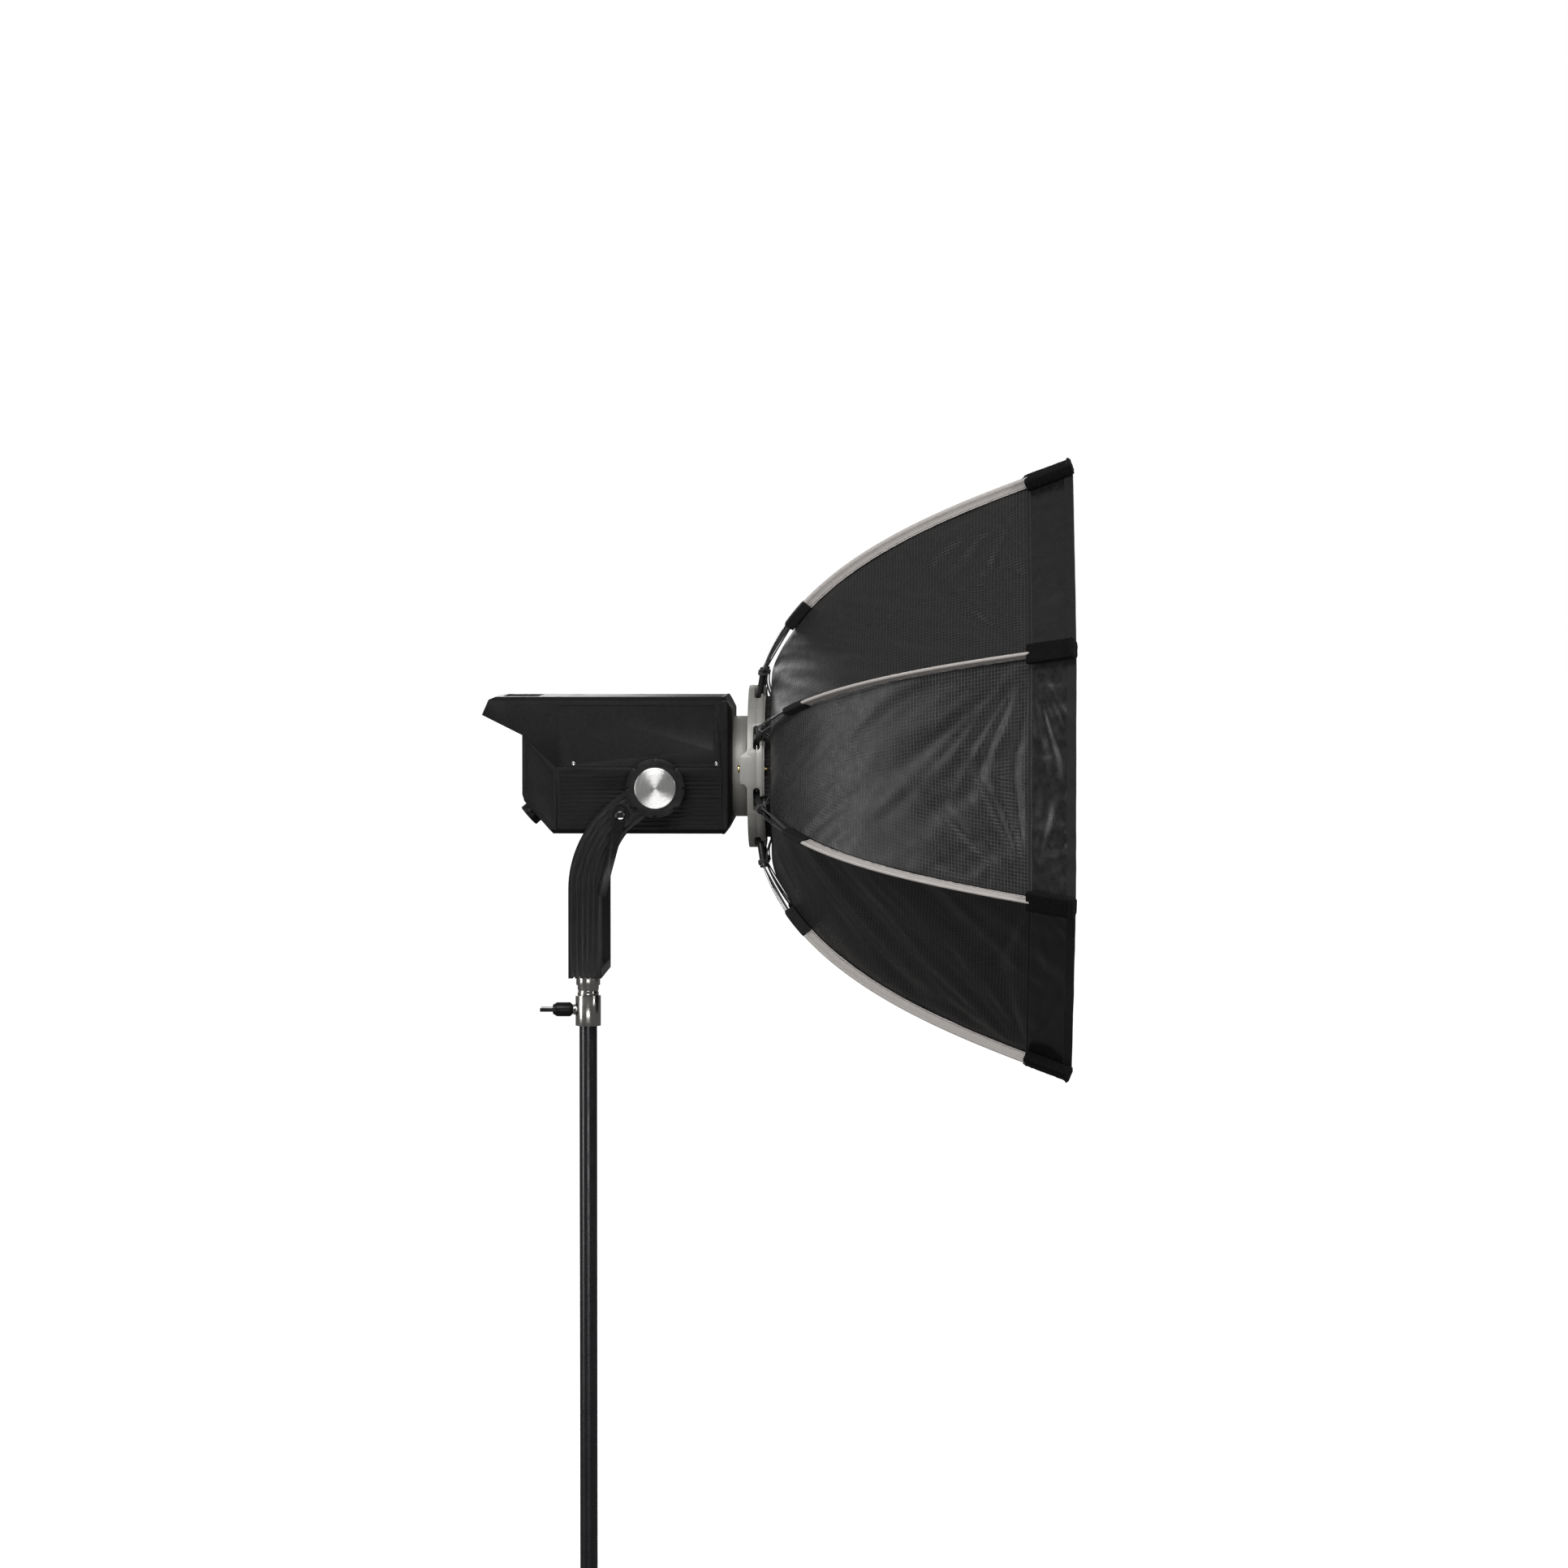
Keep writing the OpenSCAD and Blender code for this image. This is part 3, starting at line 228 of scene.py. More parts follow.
# %% [markdown]
# ## Finishes
# A finish is a colour, a roughness that wanders a little, and a bump at the scale of the real
# grain. Moulded plastic has a spark-eroded texture of about half a millimetre; enamel on a casting
# is smoother with a slow orange-peel; turned aluminium has fine rings round its axis.

# %% Moulded plastics and rubber


def moulded(name, colour, rough, grain_size=0.0007, depth=0.00006):
    made = new_material(name, colour, rough, Specular_IOR_Level=0.17)
    vary(made, "Roughness", grain(made, 0.03, 3), rough - 0.06, rough + 0.07)
    light = tuple(c * 1.6 for c in colour)
    vary(made, "Base Color", grain(made, 0.004, 4), colour, light)
    raise_by(made, grain(made, grain_size, 2), depth)
    return made


charcoal = moulded("moulded_charcoal", (0.0065, 0.0063, 0.0063), 0.42)
charcoal_dark = moulded("moulded_black", (0.0042, 0.0041, 0.0041), 0.4)
soft_black = moulded("satin_black_plastic", (0.0075, 0.0075, 0.0078), 0.36, 0.0012, 0.00002)
lever_gloss = moulded("gloss_black_lever", (0.006, 0.006, 0.0062), 0.2, 0.002, 0.00001)
key_rubber = moulded("key_rubber", (0.05, 0.05, 0.053), 0.7, 0.0005, 0.00004)
print("moulded finishes made")

# %% Metals


def worked_metal(name, colour, rough, peel=0.004, depth=0.00003, metal=1.0, **sockets):
    made = new_material(name, colour, rough, metal, **sockets)
    vary(made, "Roughness", grain(made, 0.02, 4), max(rough - 0.05, 0.02), rough + 0.08)
    raise_by(made, grain(made, peel, 3), depth)
    return made


enamel = worked_metal("black_enamel_casting", (0.008, 0.008, 0.008), 0.34, 0.0011, 0.00004, 0.0,
                      Specular_IOR_Level=0.24, Coat_Weight=0.05, Coat_Roughness=0.3)
gloss_tube = worked_metal("gloss_black_tube", (0.008, 0.008, 0.0095), 0.26, 0.02, 0.00004, 0.0,
                          Specular_IOR_Level=0.35, Coat_Weight=0.2, Coat_Roughness=0.2)
chrome = worked_metal("polished_chrome", (0.5, 0.485, 0.46), 0.2, 0.01, 0.00002)
dark_chrome = worked_metal("dark_chrome", (0.16, 0.16, 0.16), 0.08, 0.01, 0.00001)
steel = worked_metal("screw_steel", (0.52, 0.52, 0.52), 0.26)
spring_steel = worked_metal("spring_steel_rod", (0.2, 0.2, 0.21), 0.22)
brass = worked_metal("pin_brass", (0.62, 0.46, 0.2), 0.28)
plain_alloy = worked_metal("mill_aluminium", (0.6, 0.6, 0.6), 0.36)


def sparkled(name, colour, rough):
    """Silver paint: tiny flakes lighten and darken it."""
    made = new_material(name, colour, rough, 0.35)
    dull, bright = (tuple(c * share for c in colour) for share in (0.86, 1.14))
    vary(made, "Base Color", grain(made, 0.0011, 3), dull, bright)
    vary(made, "Roughness", grain(made, 0.002, 2), rough - 0.08, rough + 0.08)
    raise_by(made, grain(made, 0.0009, 2), 0.00004)
    return made


silver_paint = sparkled("fine_silver_paint", (0.30, 0.294, 0.276), 0.5)
grey_paint = sparkled("flange_grey_paint", (0.29, 0.28, 0.262), 0.55)
dark_satin = sparkled("dark_satin_paint", (0.022, 0.022, 0.023), 0.4)
print("metal finishes made")

# %% [markdown]
# ### Turned metal
# The bright cap on the tilt hub is faced on a lathe. Its light forms two fans that meet in the
# middle, which anisotropic gloss gives when its tangent runs out from the axis.

# %% Turned aluminium
hub_low, hub_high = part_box("hub_caps")
tilt_axis = (hub_low + hub_high) / 2


def turned_metal(name, colour, centre):
    made = new_material(name, colour, 0.3, 1.0, Anisotropic=0.85)
    where = place_of(made)
    middle = add_node(made, "ShaderNodeVectorMath", operation="SUBTRACT")
    middle.inputs[1].default_value = centre
    wire(made, where, middle.inputs[0])
    flat = add_node(made, "ShaderNodeVectorMath", operation="MULTIPLY")
    flat.inputs[1].default_value = (1, 0, 1)
    wire(made, middle.outputs[0], flat.inputs[0])
    to_world = add_node(made, "ShaderNodeVectorTransform", vector_type="VECTOR",
                        convert_from="OBJECT", convert_to="WORLD")
    wire(made, flat.outputs[0], to_world.inputs[0])
    wire(made, to_world.outputs[0], surface_of(made).inputs["Tangent"])
    radius = add_node(made, "ShaderNodeVectorMath", operation="LENGTH")
    wire(made, flat.outputs[0], radius.inputs[0])
    rings = add_node(made, "ShaderNodeTexNoise", Scale=2600.0, Detail=2.0)
    rings.noise_dimensions = "1D"
    wire(made, radius.outputs["Value"], rings.inputs["W"])
    raise_by(made, rings.outputs["Fac"], 0.00001)
    vary(made, "Roughness", rings.outputs["Fac"], 0.22, 0.36)
    return made


turned_cap = turned_metal("turned_aluminium", (0.66, 0.655, 0.645), tilt_axis)
print("turned metal centred at", [round(v, 3) for v in tilt_axis])

# %% Glass, board and window finishes
window_glass = new_material("display_glass", (0.006, 0.008, 0.014), 0.08, Coat_Weight=1.0)
vary(window_glass, "Roughness", grain(window_glass, 0.02), 0.05, 0.12)
panel_gloss = new_material("gloss_panel", (0.008, 0.008, 0.009), 0.14, Coat_Weight=0.6)
vary(panel_gloss, "Roughness", grain(panel_gloss, 0.015, 4), 0.1, 0.2)
lens_glass = new_material("lamp_glass_clear", (0.95, 0.96, 0.95), 0.12, Transmission_Weight=0.9, IOR=1.46)
vary(lens_glass, "Roughness", grain(lens_glass, 0.004), 0.08, 0.2)
lamp_yellow = new_material("phosphor_yellow", (0.75, 0.55, 0.12), 0.55)
vary(lamp_yellow, "Base Color", grain(lamp_yellow, 0.002), (0.7, 0.5, 0.1), (0.8, 0.6, 0.16))
board_green = new_material("board_green", (0.02, 0.12, 0.06), 0.4)
vary(board_green, "Base Color", grain(board_green, 0.003), (0.015, 0.1, 0.05), (0.03, 0.15, 0.07))
print("glass and board finishes made")

# %% [markdown]
# ## Softened edges
# No moulded or machined edge is sharp: a radius of half a millimetre catches the lamps and shows
# the form. Each hard part is copied, its triangles are merged back into flat faces, and a Bevel
# modifier rounds only the edges that turn more than 30 degrees.

# %% Softening tool
rounded_faces = {}
merge_distance = 0.000004


def softened(node, radius, finish, segments=2):
    source = nodes[node]
    piece = bpy.data.objects.new("soft_edge_" + node, source.data.copy())
    bpy.context.collection.objects.link(piece)
    work = bmesh.new()
    work.from_mesh(piece.data)
    bmesh.ops.remove_doubles(work, verts=work.verts, dist=merge_distance)
    bmesh.ops.dissolve_limit(work, angle_limit=math.radians(0.6), verts=work.verts, edges=work.edges)
    work.to_mesh(piece.data)
    work.free()
    round_edges = piece.modifiers.new("round_edges", "BEVEL")
    round_edges.width, round_edges.segments = radius, segments
    round_edges.limit_method, round_edges.angle_limit = "ANGLE", math.radians(30)
    round_edges.use_clamp_overlap = True
    plain = apply_all(piece)
    plain.data.materials.clear()
    plain.data.materials.append(finish)
    shade_by_angle(plain, 32)
    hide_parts(node)
    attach(plain, body_of[node])
    rounded_faces[node] = len(plain.data.polygons)


def apply_all(piece):
    """Turns what the modifiers give into the piece's own mesh."""
    solved = piece.evaluated_get(bpy.context.evaluated_depsgraph_get())
    mesh = bpy.data.meshes.new_from_object(solved)
    mesh.name = piece.name
    piece.modifiers.clear()
    piece.data = mesh
    return piece


def shade_by_angle(piece, degrees):
    work = bmesh.new()
    work.from_mesh(piece.data)
    for face in work.faces:
        face.smooth = True
    for edge in work.edges:
        edge.smooth = len(edge.link_faces) == 2 and edge.calc_face_angle(0) < math.radians(degrees)
    work.to_mesh(piece.data)
    work.free()


# %% Round the edges of the hard parts
softened("upper_shell", 0.0016, charcoal, 3)
softened("lower_shell", 0.0006, charcoal_dark)
softened("rear_housing", 0.0016, charcoal, 3)
softened("front_bezel", 0.0012, charcoal_dark, 3)
softened("rear_panel", 0.0004, panel_gloss)
softened("yoke_frame", 0.0006, enamel)
softened("hub_rings", 0.0006, soft_black)
softened("hub_caps", 0.0008, turned_cap)
softened("lever_handle", 0.0022, lever_gloss, 3)
softened("lever_stud", 0.0014, dark_chrome, 3)
softened("clamp_knob", 0.0012, soft_black, 3)
softened("stand_receiver", 0.0008, chrome)
softened("yoke_pin", 0.0006, chrome)
softened("yoke_collar", 0.0006, chrome)
softened("clamp_screw", 0.0004, chrome)
softened("mount_flange", 0.0005, grey_paint)
softened("speedring_rear", 0.0006, silver_paint)
softened("speedring_front", 0.0006, silver_paint)
softened("dial_left", 0.0012, soft_black)
softened("dial_right", 0.0012, soft_black)
softened("lock_pin", 0.0006, brass)
softened("cover_screws", 0.0003, steel)
softened("mains_inlet", 0.0004, soft_black)
softened("power_rocker", 0.0005, soft_black)
for key in ("key_left", "key_middle", "key_right"):
    softened(key, 0.0006, key_rubber)
for k in range(1, 9):
    softened(f"rod_holder_{k}", 0.0004, dark_satin)
print("faces after softening:", sum(rounded_faces.values()))

# %% Finishes for the parts that keep their mesh
plain_finish = {
    "stand_riser": gloss_tube, "riser_plug": soft_black, "display_window": window_glass,
    "lamp_module": lamp_yellow, "lamp_glass": lens_glass, "heat_sink": plain_alloy,
    "fan_frame": soft_black, "fan_rotor": soft_black, "power_board": board_green,
    "adapter_ring": plain_alloy, "ring_screws": steel, "hinge_pins": steel,
}
for node, finish in plain_finish.items():
    mesh = nodes[node].data
    mesh.materials.clear()
    mesh.materials.append(finish)
print("finishes set on", len(plain_finish), "nodes")

# %% [markdown]
# ## The line of a rib
# Eight spring-steel rods stand in holders on the ring and bow out to the rim. One smooth curve,
# in the plane of a rib, sets the place of rod, sleeve, straps and cloth, so it is worked out once,
# as distance along the light's axis and distance from it.

# %% Rib curve
half_gore = math.radians(22.5)
axis_z = sum(c.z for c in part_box("mount_flange")) / 2
split_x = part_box("speedring_rear")[1].x
ring_front_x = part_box("speedring_front")[1].x
rim_x = split_x + 0.448
across_flats = 0.873
rim_radius = across_flats / 2 / math.cos(half_gore)
tilt, holder_length, pivot_radius = math.radians(8.7), 0.0575, 0.098
holder_way = np.array([math.sin(tilt), math.cos(tilt)])
rod_foot = np.array([split_x, pivot_radius]) + holder_length * holder_way
rod_tip = np.array([rim_x - 0.003, rim_radius])
lead, trail = math.radians(18), math.radians(22)
lead_pull, trail_pull = 0.190, 0.150
bow = [rod_foot, rod_foot + lead_pull * np.array([math.sin(lead), math.cos(lead)]),
       rod_tip - trail_pull * np.array([math.cos(trail), math.sin(trail)]), rod_tip]


def rod_at(t):
    t = np.asarray(t, float)[..., None]
    return (1 - t)**3 * bow[0] + 3 * t * (1 - t)**2 * bow[1] + 3 * t * t * (1 - t) * bow[2] + t**3 * bow[3]


def inward_at(t):
    """Unit vector across the rod, towards the light's axis."""
    t = np.asarray(t, float)[..., None]
    way = (1 - t)**2 * (bow[1] - bow[0]) + 2 * t * (1 - t) * (bow[2] - bow[1]) + t * t * (bow[3] - bow[2])
    way /= np.linalg.norm(way, axis=-1, keepdims=True)
    return np.stack([way[..., 1], -way[..., 0]], -1)


def rib_angle(k):
    return half_gore * (2 * k - 1)


def on_rib(k, along, out, side=0.0):
    """A point from distance along the axis, distance out from it, and offset across the rib."""
    a = rib_angle(k)
    return np.stack(np.broadcast_arrays(
        along, -math.sin(a) * out + math.cos(a) * side, axis_z + math.cos(a) * out + math.sin(a) * side), -1)


print("rod runs from radius", round(float(rod_foot[1]), 4), "to", round(float(rod_tip[1]), 4))

# %% [markdown]
# ## Building closed shells from rings of points
# Sleeves, caps, straps and bindings are all sections carried along a line. One tool joins rings of
# points into a closed tube with capped ends and gives it a UV map in metres for the weaves.

# %% Shell from rings


def closed_piece(name, mesh):
    """Makes the object, turns every face outwards and shades it smooth but for its sharp edges."""
    piece = bpy.data.objects.new(name, mesh)
    bpy.context.collection.objects.link(piece)
    work = bmesh.new()
    work.from_mesh(mesh)
    bmesh.ops.recalc_face_normals(work, faces=work.faces)
    work.to_mesh(mesh)
    work.free()
    shade_by_angle(piece, 40)
    return piece


def shell_of(name, rings, finish):
    rings = np.asarray(rings, float)
    count, n = rings.shape[:2]
    verts = rings.reshape(-1, 3)
    faces = [(i * n + j, i * n + (j + 1) % n, (i + 1) * n + (j + 1) % n, (i + 1) * n + j)
             for i in range(count - 1) for j in range(n)]
    faces += [tuple(range(n))[::-1], tuple((count - 1) * n + j for j in range(n))]
    mesh = bpy.data.meshes.new(name)
    mesh.from_pydata(verts.tolist(), [], faces)
    along = np.concatenate([[0], np.cumsum(np.linalg.norm(np.diff(rings.mean(1), axis=0), axis=1))])
    around = np.concatenate([[0], np.cumsum(np.linalg.norm(np.diff(rings[0], axis=0), axis=1))])
    layer = mesh.uv_layers.new(name="cut")
    flat = np.array([(along[v // n], around[v % n]) for v in (loop.vertex_index for loop in mesh.loops)])
    layer.data.foreach_set("uv", flat.astype(np.float32).ravel())
    mesh.materials.append(finish)
    return closed_piece(name, mesh)


def gather(piece, k):
    """Rides on a rib, with a mesh of its own."""
    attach(piece, f"rib_{k}")
    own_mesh(piece)


# %% [markdown]
# ## Cloth finishes
# The canopy is a light polyester with a ripstop grid: every five millimetres a thicker thread
# crosses the plain weave both ways. The pattern follows the cut of each panel, so it reads a UV
# map in metres. The lining is coated silver. Webbing is a coarse ribbed weave and the straps
# are brushed loop.

# %% Woven finishes


def threads(material, place, pitch, axis, sharp=6.0):
    """Ridges every pitch metres along one UV direction, from 0 to 1."""
    split = add_node(material, "ShaderNodeSeparateXYZ")
    wire(material, place, split.inputs[0])
    turns = add_node(material, "ShaderNodeMath", operation="MULTIPLY")
    turns.inputs[1].default_value = math.tau / pitch
    wire(material, split.outputs[axis], turns.inputs[0])
    wave = add_node(material, "ShaderNodeMath", operation="COSINE")
    wire(material, turns.outputs[0], wave.inputs[0])
    half = add_node(material, "ShaderNodeMath", operation="MULTIPLY_ADD")
    half.inputs[1].default_value = half.inputs[2].default_value = 0.5
    wire(material, wave.outputs[0], half.inputs[0])
    peak = add_node(material, "ShaderNodeMath", operation="POWER")
    peak.inputs[1].default_value = sharp
    wire(material, half.outputs[0], peak.inputs[0])
    return peak.outputs[0]


def strongest(material, one, other):
    made = add_node(material, "ShaderNodeMath", operation="MAXIMUM")
    wire(material, one, made.inputs[0])
    wire(material, other, made.inputs[1])
    return made.outputs[0]


def paler(material, share, colour):
    """Mixes another colour over the base colour where share is 1."""
    base = surface_of(material).inputs["Base Color"]
    over = add_node(material, "ShaderNodeMix", data_type="RGBA")
    wire(material, share, over.inputs["Factor"])
    wire(material, base.links[0].from_socket, over.inputs[6])
    over.inputs[7].default_value = (*colour, 1)
    wire(material, over.outputs[2], base)


def woven(name, colour, rough, pitch, grid, depth, sheen, lift=1.6):
    """A plain weave of the pitch in metres, crossed by a ripstop grid where grid isn't 0."""
    made = new_material(name, colour, rough, 0.0, Specular_IOR_Level=0.22, Sheen_Weight=sheen,
                        Sheen_Roughness=0.4)
    cut = place_of(made, uv=True)
    weave = strongest(made, threads(made, cut, pitch, 0, 1.0), threads(made, cut, pitch, 1, 1.0))
    raise_by(made, weave, depth, 0.6)
    slub = grain(made, 0.006, 6, cut, 0.7)
    vary(made, "Base Color", slub, colour, tuple(min(c * lift, 1) for c in colour))
    if grid:
        rip = strongest(made, threads(made, cut, grid, 0, 12.0), threads(made, cut, grid, 1, 12.0))
        raise_by(made, rip, depth * 2.5)
        paler(made, rip, tuple(c * 7.5 for c in colour))
    vary(made, "Roughness", grain(made, 0.012, 3, cut), rough - 0.07, rough + 0.07)
    return made


ripstop = woven("black_ripstop", (0.0042, 0.0041, 0.0041), 0.36, 0.0007, 0.005, 0.00005, 0.02, 2.6)
hem_cloth = woven("black_hem_cloth", (0.007, 0.007, 0.0072), 0.6, 0.0009, 0, 0.00008, 0.04)
satin_skirt = woven("black_satin_skirt", (0.005, 0.005, 0.0052), 0.31, 0.0006, 0, 0.00003, 0.02)
surface_of(satin_skirt).inputs["Specular IOR Level"].default_value = 0.5
surface_of(ripstop).inputs["Specular IOR Level"].default_value = 0.36
silver_lining = woven("silver_lining", (0.62, 0.62, 0.61), 0.32, 0.0008, 0, 0.00005, 0.0, 1.1)
surface_of(silver_lining).inputs["Metallic"].default_value = 0.7
sleeve_cloth = woven("grey_sleeve_tape", (0.36, 0.338, 0.322), 0.82, 0.0011, 0, 0.00012, 0.05, 1.15)
webbing = woven("black_webbing", (0.004, 0.004, 0.004), 0.72, 0.0016, 0, 0.0002, 0.05)
white_cloth = woven("white_diffusion", (0.86, 0.86, 0.85), 0.6, 0.0006, 0, 0.00004, 0.1, 1.04)
black_thread = new_material("black_thread", (0.012, 0.012, 0.012), 0.55, Sheen_Weight=0.3)
vary(black_thread, "Roughness", grain(black_thread, 0.0006), 0.45, 0.65)
elastic = new_material("black_elastic", (0.01, 0.01, 0.01), 0.62, Sheen_Weight=0.3)
raise_by(elastic, grain(elastic, 0.0008, 2), 0.0001)

brushed_loop = new_material("brushed_loop", (0.004, 0.004, 0.004), 0.9, Specular_IOR_Level=0.05,
                            Sheen_Weight=0.02, Sheen_Roughness=0.5)
raise_by(brushed_loop, grain(brushed_loop, 0.0012, 5, roughness=0.7), 0.0006)
vary(brushed_loop, "Base Color", grain(brushed_loop, 0.0016, 5),
     (0.0018, 0.0018, 0.0018), (0.008, 0.0078, 0.0078))
print("cloth finishes made")

# %% [markdown]
# ## The canopy
# Eight gores meet under the rods and bow inward between them. The flat pattern is laid out as one
# grid, and a Cloth simulation with the rib lines, the rear hem and the rim held gives the stretched
# shape. Folds and creases are then added by code, from noise and from pulls at the corners. The
# result is cut at the middle of each gore into eight pieces, so that each can follow its rod.

# %% Canopy grid at rest
hem_x = ring_front_x + 0.008
knots = np.vstack([[hem_x, 0.108], [hem_x + 0.002, 0.150], [hem_x + 0.015, 0.184],
                   rod_at(np.linspace(0.17, 1, 15)) + 0.013 * inward_at(np.linspace(0.17, 1, 15))])
across_cells, down_cells = 24, 84


def even_line(points, cells):
    """Catmull-Rom line through points, cut into equal lengths."""
    p = np.vstack([2 * points[0] - points[1], points, 2 * points[-1] - points[-2]])
    u = np.linspace(0, 1, 24, endpoint=False)[:, None]
    fine = [0.5 * (2 * b + (c - a) * u + (2 * a - 5 * b + 4 * c - d) * u**2 + (3 * b - a - 3 * c + d) * u**3)
            for a, b, c, d in zip(p, p[1:], p[2:], p[3:])]
    fine = np.vstack([*fine, points[-1:]])
    run = np.concatenate([[0], np.cumsum(np.linalg.norm(np.diff(fine, axis=0), axis=1))])
    at = np.linspace(0, run[-1], cells + 1)
    return np.stack([np.interp(at, run, fine[:, 0]), np.interp(at, run, fine[:, 1])], -1), run[-1]


line, line_length = even_line(knots, down_cells)
ribs = np.stack([on_rib(k, line[:, 0], line[:, 1]) for k in range(1, 9)], 1)
mix = np.arange(across_cells) / across_cells
grid = np.concatenate([ribs[:, k, None] * (1 - mix[:, None]) + ribs[:, (k + 1) % 8, None] * mix[:, None]
                       for k in range(8)], 1)
rows, columns = grid.shape[:2]
print("canopy line", round(line_length, 3), "m; grid", rows, "x", columns)

# %% Let the cloth settle


def settled(start):
    mesh = bpy.data.meshes.new("canopy_cloth")
    faces = [(i * columns + j, i * columns + (j + 1) % columns, (i + 1) * columns + (j + 1) % columns,
              (i + 1) * columns + j) for i in range(rows - 1) for j in range(columns)]
    mesh.from_pydata(start.reshape(-1, 3).tolist(), [], faces)
    cloth = bpy.data.objects.new("canopy_cloth", mesh)
    bpy.context.collection.objects.link(cloth)
    held = cloth.vertex_groups.new(name="held")
    held.add([i * columns + k * across_cells for i in range(rows) for k in range(8)], 1, "REPLACE")
    held.add([j for j in range(columns)] + [(rows - 1) * columns + j for j in range(columns)], 1, "REPLACE")
    seam_row = int(np.argmin(abs(line[:, 0] - seam_x)))
    held.add([seam_row * columns + j for j in range(columns) if j % across_cells], 0.6, "REPLACE")
    sim = cloth.modifiers.new("cloth", "CLOTH")
    sim.settings.quality = 6
    sim.settings.mass = 0.12
    sim.settings.tension_stiffness = sim.settings.compression_stiffness = 14
    sim.settings.shear_stiffness = 5
    sim.settings.bending_stiffness = 0.12
    sim.settings.shrink_min = 0.004
    sim.settings.vertex_group_mass = "held"
    sim.settings.effector_weights.gravity = 0.15
    sim.collision_settings.use_collision = False
    last = 24
    sim.point_cache.frame_start, sim.point_cache.frame_end = 1, last
    for frame_number in range(1, last + 1):
        scene.frame_set(frame_number)
    solved = cloth.evaluated_get(bpy.context.evaluated_depsgraph_get())
    found = np.array([v.co for v in solved.data.vertices], float).reshape(rows, columns, 3)
    scene.frame_set(1)
    bpy.data.objects.remove(cloth)
    return found


seam_x = rim_x - 0.060
outward = np.stack([np.zeros((rows, columns)), grid[..., 1], grid[..., 2] - axis_z], -1)
outward /= np.linalg.norm(outward, axis=-1, keepdims=True)
middle = np.sin(np.pi * (np.arange(columns) % across_cells) / across_cells)
slack = np.sin(np.pi * np.linspace(0, 1, rows))[:, None] * middle[None]
seeds = np.array([[noise.noise(Vector((p[0] * 9 + p[1] * 7, p[1] * 16 - p[0] * 8, p[2] * 16)))
                   for p in row] for row in grid])
start = grid - outward * (0.003 * slack + 0.002 * slack * seeds)[..., None]
canopy = settled(start)
moved = canopy - grid
far = np.linalg.norm(moved, axis=-1)
most_moved = 0.014
canopy = grid + moved * np.minimum(1, most_moved / np.maximum(far, 1e-9))[..., None]
print("cloth moved by up to", round(float(far.max()) * 1000, 1), "mm")

# %% Refine the grid


def finer(a):
    """Doubles the rows with smooth in-between points."""
    p = np.concatenate([2 * a[:1] - a[1:2], a, 2 * a[-1:] - a[-2:-1]])
    between = (-p[:-3] + 9 * p[1:-2] + 9 * p[2:-1] - p[3:]) / 16
    out = np.empty((2 * len(a) - 1, *a.shape[1:]))
    out[::2], out[1::2] = a, between
    return out


gores = [np.take(canopy, range(k * across_cells, (k + 1) * across_cells + 1), 1, mode="wrap")
         for k in range(8)]
gores = [finer(finer(g).transpose(1, 0, 2)).transpose(1, 0, 2) for g in gores]
half = across_cells
surface = np.concatenate([g[:, :-1] for g in gores], 1)
R, C = surface.shape[:2]
along_m = np.linspace(0, line_length, R)
print("fine canopy grid", R, "x", C)

# %% Folds and creases
# Folds that the simulation's grid is too coarse for: long leaning ones, folds that fan out from the
# straps, short ones in the skirt and gathers at the rear hem. They fade out at the ribs and seams.


def surface_normals(s):
    down = np.gradient(s, axis=0)
    over = (np.roll(s, -1, 1) - np.roll(s, 1, 1)) / 2
    n = np.cross(over, down)
    n /= np.linalg.norm(n, axis=-1, keepdims=True)
    radial = np.stack([np.zeros((R, C)), s[..., 1], s[..., 2] - axis_z], -1)
    return n * np.sign((n * radial).sum(-1, keepdims=True).mean())


turn_of = np.arange(C) / C * 8
at_row = np.linspace(0, line_length, rows)
width_of = 2 * np.interp(along_m, at_row, line[:, 1]) * math.sin(half_gore)
off_rib = np.abs((turn_of % 1) - 0.5) * 2
quiet = np.clip((1 - off_rib) * 9, 0, 1)**0.7
seam_m = float(np.interp(seam_x, line[:, 0], at_row))
near_seam = np.exp(-((along_m - seam_m) / 0.012)**2)
in_skirt = np.clip((along_m - seam_m) / 0.01, 0, 1)
near_hem = np.exp(-(along_m / 0.05)**2)
# Each gore's long folds lean one way, in radians, and two gores hang calmer than the others
lean = [0.62, -0.55, 0.7, -0.6, 0.55, -0.68, 0.6, -0.5]
calm_gores, calm_fold, deep_fold = (1, 5), 0.0030, 0.0054
strap_pull, skirt_fold, hem_gather = 0.0056, 0.0036, 0.0018
rear_fade = np.clip(along_m / 0.10, 0.15, 1)
crease = np.zeros((R, C))


def ridge(x, y, z):
    """Noise as soft folds with crisper tops."""
    return (0.5 - math.hypot(noise.noise(Vector((x, y, z))), 0.045)) * 1.6 - 0.4


def pulls(u, y, half_wide, g):
    """Folds that fan out from the two corners where the straps pull on the gore."""
    total = 0
    for side in (-1, 1):
        across, back = half_wide - side * u, seam_m - y
        reach_to = math.hypot(across, back)
        fan = math.atan2(back, across)
        fade = math.exp(-((reach_to - 0.10) / 0.09)**2) * min(reach_to / 0.05, 1)**2
        total += ridge(fan * 6.5 + 11 * side, reach_to * 2.5, g * 3.7) * fade
    return total


